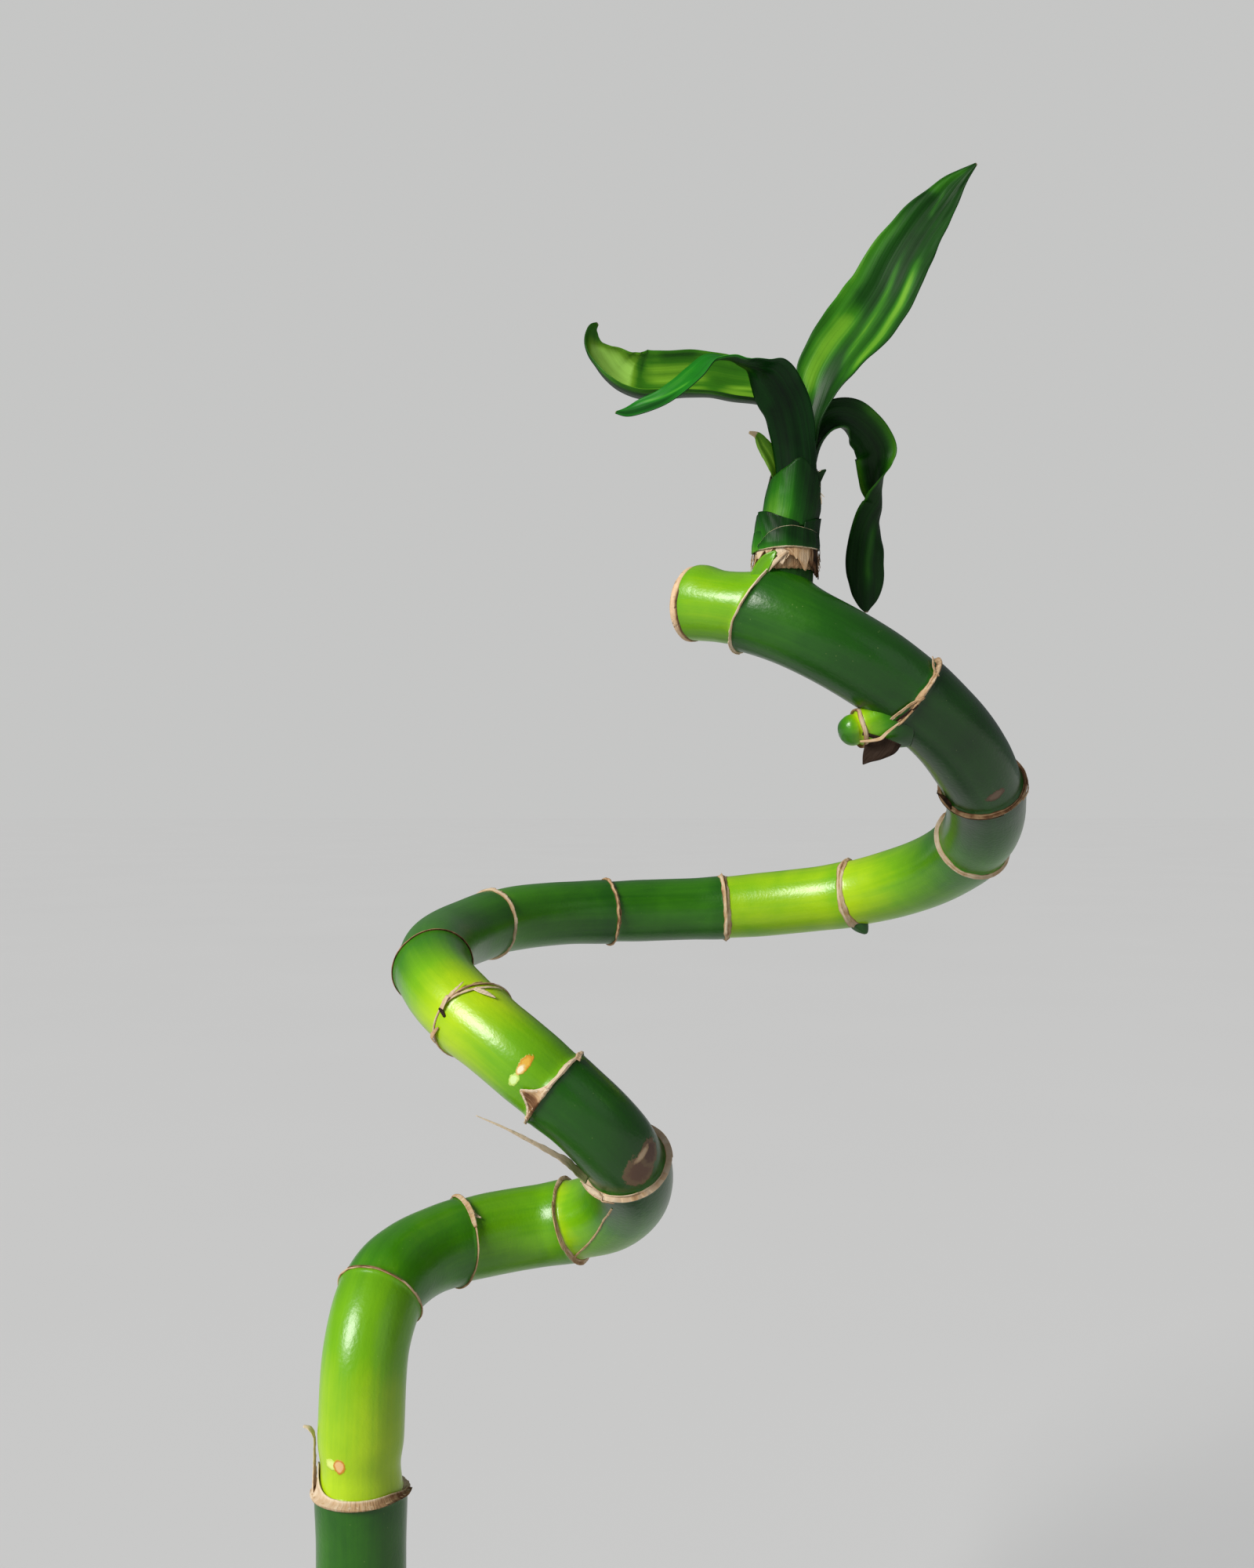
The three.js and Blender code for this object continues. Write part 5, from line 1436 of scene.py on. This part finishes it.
def vase_shape():
    v = VASE
    foot = arc(v["foot"] - v["foot_round"], v["foot_round"], v["foot_round"], -90, 0)
    lip = arc(v["rim"] - v["lip_round"], v["height"] - v["lip_round"], v["lip_round"], 0, 90)
    lip += arc(v["rim"] - v["wall"] + v["lip_round"], v["height"] - v["lip_round"], v["lip_round"], 90, 180)
    inside = arc(
        v["foot"] - v["wall"] - v["foot_round"], v["floor"] + v["foot_round"], v["foot_round"], 0, -90)
    middle, well = (VASE_HUB, 0), (VASE_HUB, v["floor"])
    profile = [middle] + straight(middle, foot[0], VASE_ROWS["under"]) + foot
    profile += straight(foot[-1], lip[0], VASE_ROWS["side"]) + lip
    profile += straight(lip[-1], inside[0], VASE_ROWS["bore"]) + inside
    profile += straight(inside[-1], well, VASE_ROWS["floor"]) + [well]
    angles = np.linspace(0, 2 * np.pi, VASE_SIDES, endpoint=False)
    rows = np.array([
        np.stack([r * np.cos(angles), r * np.sin(angles), z + 0 * angles], -1) for r, z in profile])
    z = rows[..., 2]
    reach = np.hypot(rows[..., 0], rows[..., 1])
    unglazed = (z < BARE_CLAY["below"]) & (reach > BARE_CLAY["outside"]) | (z < BARE_CLAY["underside"])
    bare = np.where(unglazed, 1 - smooth((z - BARE_CLAY["fades_from"]) / BARE_CLAY["fades_over"]), 0)
    worn = smooth((z - v["height"] + WORN_LIP) / WORN_LIP)
    return closed_tube(rows, grain=rows, bare=bare, worn=worn, ribs=np.sin(z * RIBS))


def draws(seed):
    """Repeatable draws between two limits."""
    state = seed

    def draw(limits):
        nonlocal state
        state = (state * GENERATOR["factor"] + GENERATOR["step"]) % GENERATOR["size"]
        return limits[0] + (limits[1] - limits[0]) * state / GENERATOR["size"]

    return draw


def ball(subdivisions):
    work = bmesh.new()
    bmesh.ops.create_icosphere(work, subdivisions=subdivisions, radius=1)
    points = np.array([vert.co for vert in work.verts])
    faces = [[vert.index for vert in face.verts] for face in work.faces]
    work.free()
    return points, faces


def stone(points, radius, scale, spin, tip, place, seed):
    """A smooth uneven pebble inside the vase's bore and clear of the cane."""
    draw = np.random.RandomState(seed)
    lump = np.zeros(len(points))
    for _ in range(LUMPS["count"]):
        wave = points @ draw.uniform(*LUMPS["waves"], 3)
        lump += LUMPS["size"] * np.sin(wave + draw.uniform(*LUMPS["shift"]))
    shaped = points * (1 + lump)[:, None] * radius * np.array(scale)
    turn_z = np.array([[math.cos(spin), -math.sin(spin), 0], [math.sin(spin), math.cos(spin), 0], [0, 0, 1]])
    turn_x = np.array([[1, 0, 0], [0, math.cos(tip), -math.sin(tip)], [0, math.sin(tip), math.cos(tip)]])
    moved = shaped @ turn_z.T @ turn_x.T + np.array(place)
    reach = np.hypot(moved[:, 0], moved[:, 1])
    inner = FOOT_DIAMETER / 2 + STONE_ROOM["cane"]
    room = np.clip(reach, inner, bore(moved[:, 2]) - STONE_ROOM["wall"])
    moved[:, :2] *= (room / np.maximum(reach, 1e-6))[:, None]
    grain = points * radius + np.array([seed * STONE_GRAIN[0], seed * STONE_GRAIN[1], 0])
    return moved, grain


def pebble_shapes():
    large, small = ball(PEBBLES["detail"]), ball(GRAVEL["detail"])
    draw = draws(PEBBLES["seed"])
    tones = np.random.RandomState(PEBBLES["tone_seed"])
    shapes = []

    def put(body, *shaping):
        points, faces = body
        moved, grain = stone(points, *shaping, seed=len(shapes) + 1)
        tone = tones.choice(list(PEBBLE_TONES), p=list(PEBBLE_TONES.values()))
        shapes.append(shape_of(moved, faces, grain=grain, tone=np.zeros(len(moved)) + tone))

    for ring in range(PEBBLES["rings"]):
        radius = PEBBLES["first"] + ring * PEBBLES["step"]
        count = round(2 * math.pi * radius / PEBBLES["spacing"])
        for k in range(count):
            turn = 2 * math.pi * (k + draw(PEBBLE["along"])) / count
            size, width, height = (draw(PEBBLE[key]) for key in ("radius", "width", "height"))
            spin = draw((0, 2 * math.pi))
            tip = draw(PEBBLE["tip"])
            reach = radius + draw(PEBBLE["across"])
            place = (reach * math.cos(turn), reach * math.sin(turn), PEBBLES["top"] + draw(PEBBLE["up"]))
            put(large, size, (1, width, height), spin, tip, place)
    chance = np.random.RandomState(GRAVEL["seed"])
    for _ in range(GRAVEL["count"]):
        turn = chance.uniform(0, 2 * math.pi)
        reach = chance.uniform(*GRAVEL["reach"])
        rise = chance.uniform(*GRAVEL["rise"])
        place = (reach * math.cos(turn), reach * math.sin(turn), PEBBLES["top"] + rise)
        radius = chance.uniform(*GRAVEL["radius"])
        put(small, radius, GRAVEL["scale"], chance.uniform(*GRAVEL["spin"]), GRAVEL["tip"], place)
    return shapes


def bed_shape():
    """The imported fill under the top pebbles."""
    angles = np.linspace(0, 2 * np.pi, BED["sides"], endpoint=False)
    top = PEBBLES["top"] - BED["below"]
    rows = []
    for share, height in BED_PROFILE:
        z = top + height
        reach = (bore(z) - BED["clear"]) * share
        rows.append(np.stack([reach * np.cos(angles), reach * np.sin(angles), z + 0 * angles], -1))
    rows = np.array(rows)
    return closed_tube(rows, grain=rows, tone=BED["tone"] + 0 * rows[..., 0])


# Stage

def make_camera():
    data = bpy.data.cameras.new("camera")
    data.sensor_width = CAMERA["sensor"]
    data.lens = CAMERA["lens"]
    data.clip_start = CAMERA["near"]
    data.clip_end = CAMERA["far"]
    camera = bpy.data.objects.new("camera", data)
    camera.location = Vector(CAMERA["place"]) * MM
    camera.rotation_euler = (math.pi / 2, 0, 0)
    bpy.context.scene.collection.objects.link(camera)
    bpy.context.scene.camera = camera


def make_light(name, kind, settings):
    """A light that faces the plant from a direction."""
    data = bpy.data.lights.new(name, kind)
    data.color = settings["colour"]
    light = bpy.data.objects.new(name, data)
    way = Vector(settings["from"]).normalized()
    light.location = Vector(LIT_PLACE) * MM + way * settings["away"]
    light.rotation_mode = "QUATERNION"
    light.rotation_quaternion = way.to_track_quat("Z", "Y")
    bpy.context.scene.collection.objects.link(light)
    return data


def make_world():
    """Soft light from all round, and a plain pale backdrop for the camera alone."""
    world = bpy.data.worlds.new("studio")
    world.use_nodes = True
    world.node_tree.nodes.clear()
    n = Nodes(world.node_tree)
    light = n.add("ShaderNodeBackground", {"Color": (*SKY["light"], 1), "Strength": SKY["strength"]})
    seen = n.add("ShaderNodeBackground", {"Color": (*SKY["seen"], 1), "Strength": 1.0})
    straight_ray = n.add("ShaderNodeLightPath").outputs["Is Camera Ray"]
    n.add("ShaderNodeOutputWorld", {"Surface": n.mix(straight_ray, light.outputs[0], seen.outputs[0])})
    bpy.context.scene.world = world


def make_stage():
    mesh = bpy.data.meshes.new("floor")
    half = FLOOR["half"]
    corners = [(-half, -half, 0), (half, -half, 0), (half, half, 0), (-half, half, 0)]
    mesh.from_pydata(corners, [], [(0, 1, 2, 3)])
    mesh.materials.append(floor_material())
    floor = bpy.data.objects.new("floor", mesh)
    bpy.context.scene.collection.objects.link(floor)
    make_world()
    key = make_light("key", "SUN", KEY)
    key.energy = KEY["energy"]
    key.angle = KEY["angle"]
    fill = make_light("fill", "AREA", FILL)
    fill.energy = FILL["power"]
    fill.size = FILL["size"]
    bpy.context.scene.view_settings.view_transform = "Standard"


def build():
    cane = cane_material()
    leaf = leaf_material()
    dry = paper_material()
    piece("cane_skin", cane_shape(), cane, "cane", "cane")
    piece("cane_cut", cut_shape(), cut_material(), "cane")
    rims = [shape for i in range(len(RINGS)) for shape in ring_shapes(i)]
    piece("ring_rims", join(rims), dry, "dry_sheath")
    # Among these strips are dark strips and a flap that are painted shade
    torn = [strip(*values) for values in STRIPS.values()]
    torn += [cane_patch(stations, seed) for seed, stations in enumerate(PATCHES.values())]
    torn += [free_flap(*values) for values in FREE_FLAPS.values()]
    piece("torn_strips_and_painted_shade", join(torn + [bud_rim()]), dry, "dry_sheath")
    piece("side_buds", join([bud_shape(bud) for bud in BUDS.values()] + [tongue_shape()]), cane, "cane")
    sheaths = [sheath(**values, seed=k) for k, values in enumerate(SHEATHS.values())]
    piece("shoot_sheaths", join([core_shape(), *sheaths, bract_right_shape()]), leaf, "shoot", "shoot")
    piece("collar_flakes", join(collar_shapes()), dry, "dry_sheath", "shoot_collar")
    for name in LEAF_FINISH:
        piece("fine_" + name, leaf_shape(name), leaf, "leaf", name)
    for name in DRY_STRIPS:
        piece("fine_" + name, dry_strip_shape(name), dry, "dry_sheath", name)
    piece("shoot_hairs", join(hair_shapes()), dry, "dry_sheath")
    piece("glazed_vase", vase_shape(), glaze_material(), "vase_glaze", "vase")
    piece("pebble_fill", join(pebble_shapes() + [bed_shape()]), pebble_material(), "pebbles", "pebbles")


make_camera()
make_stage()
build()
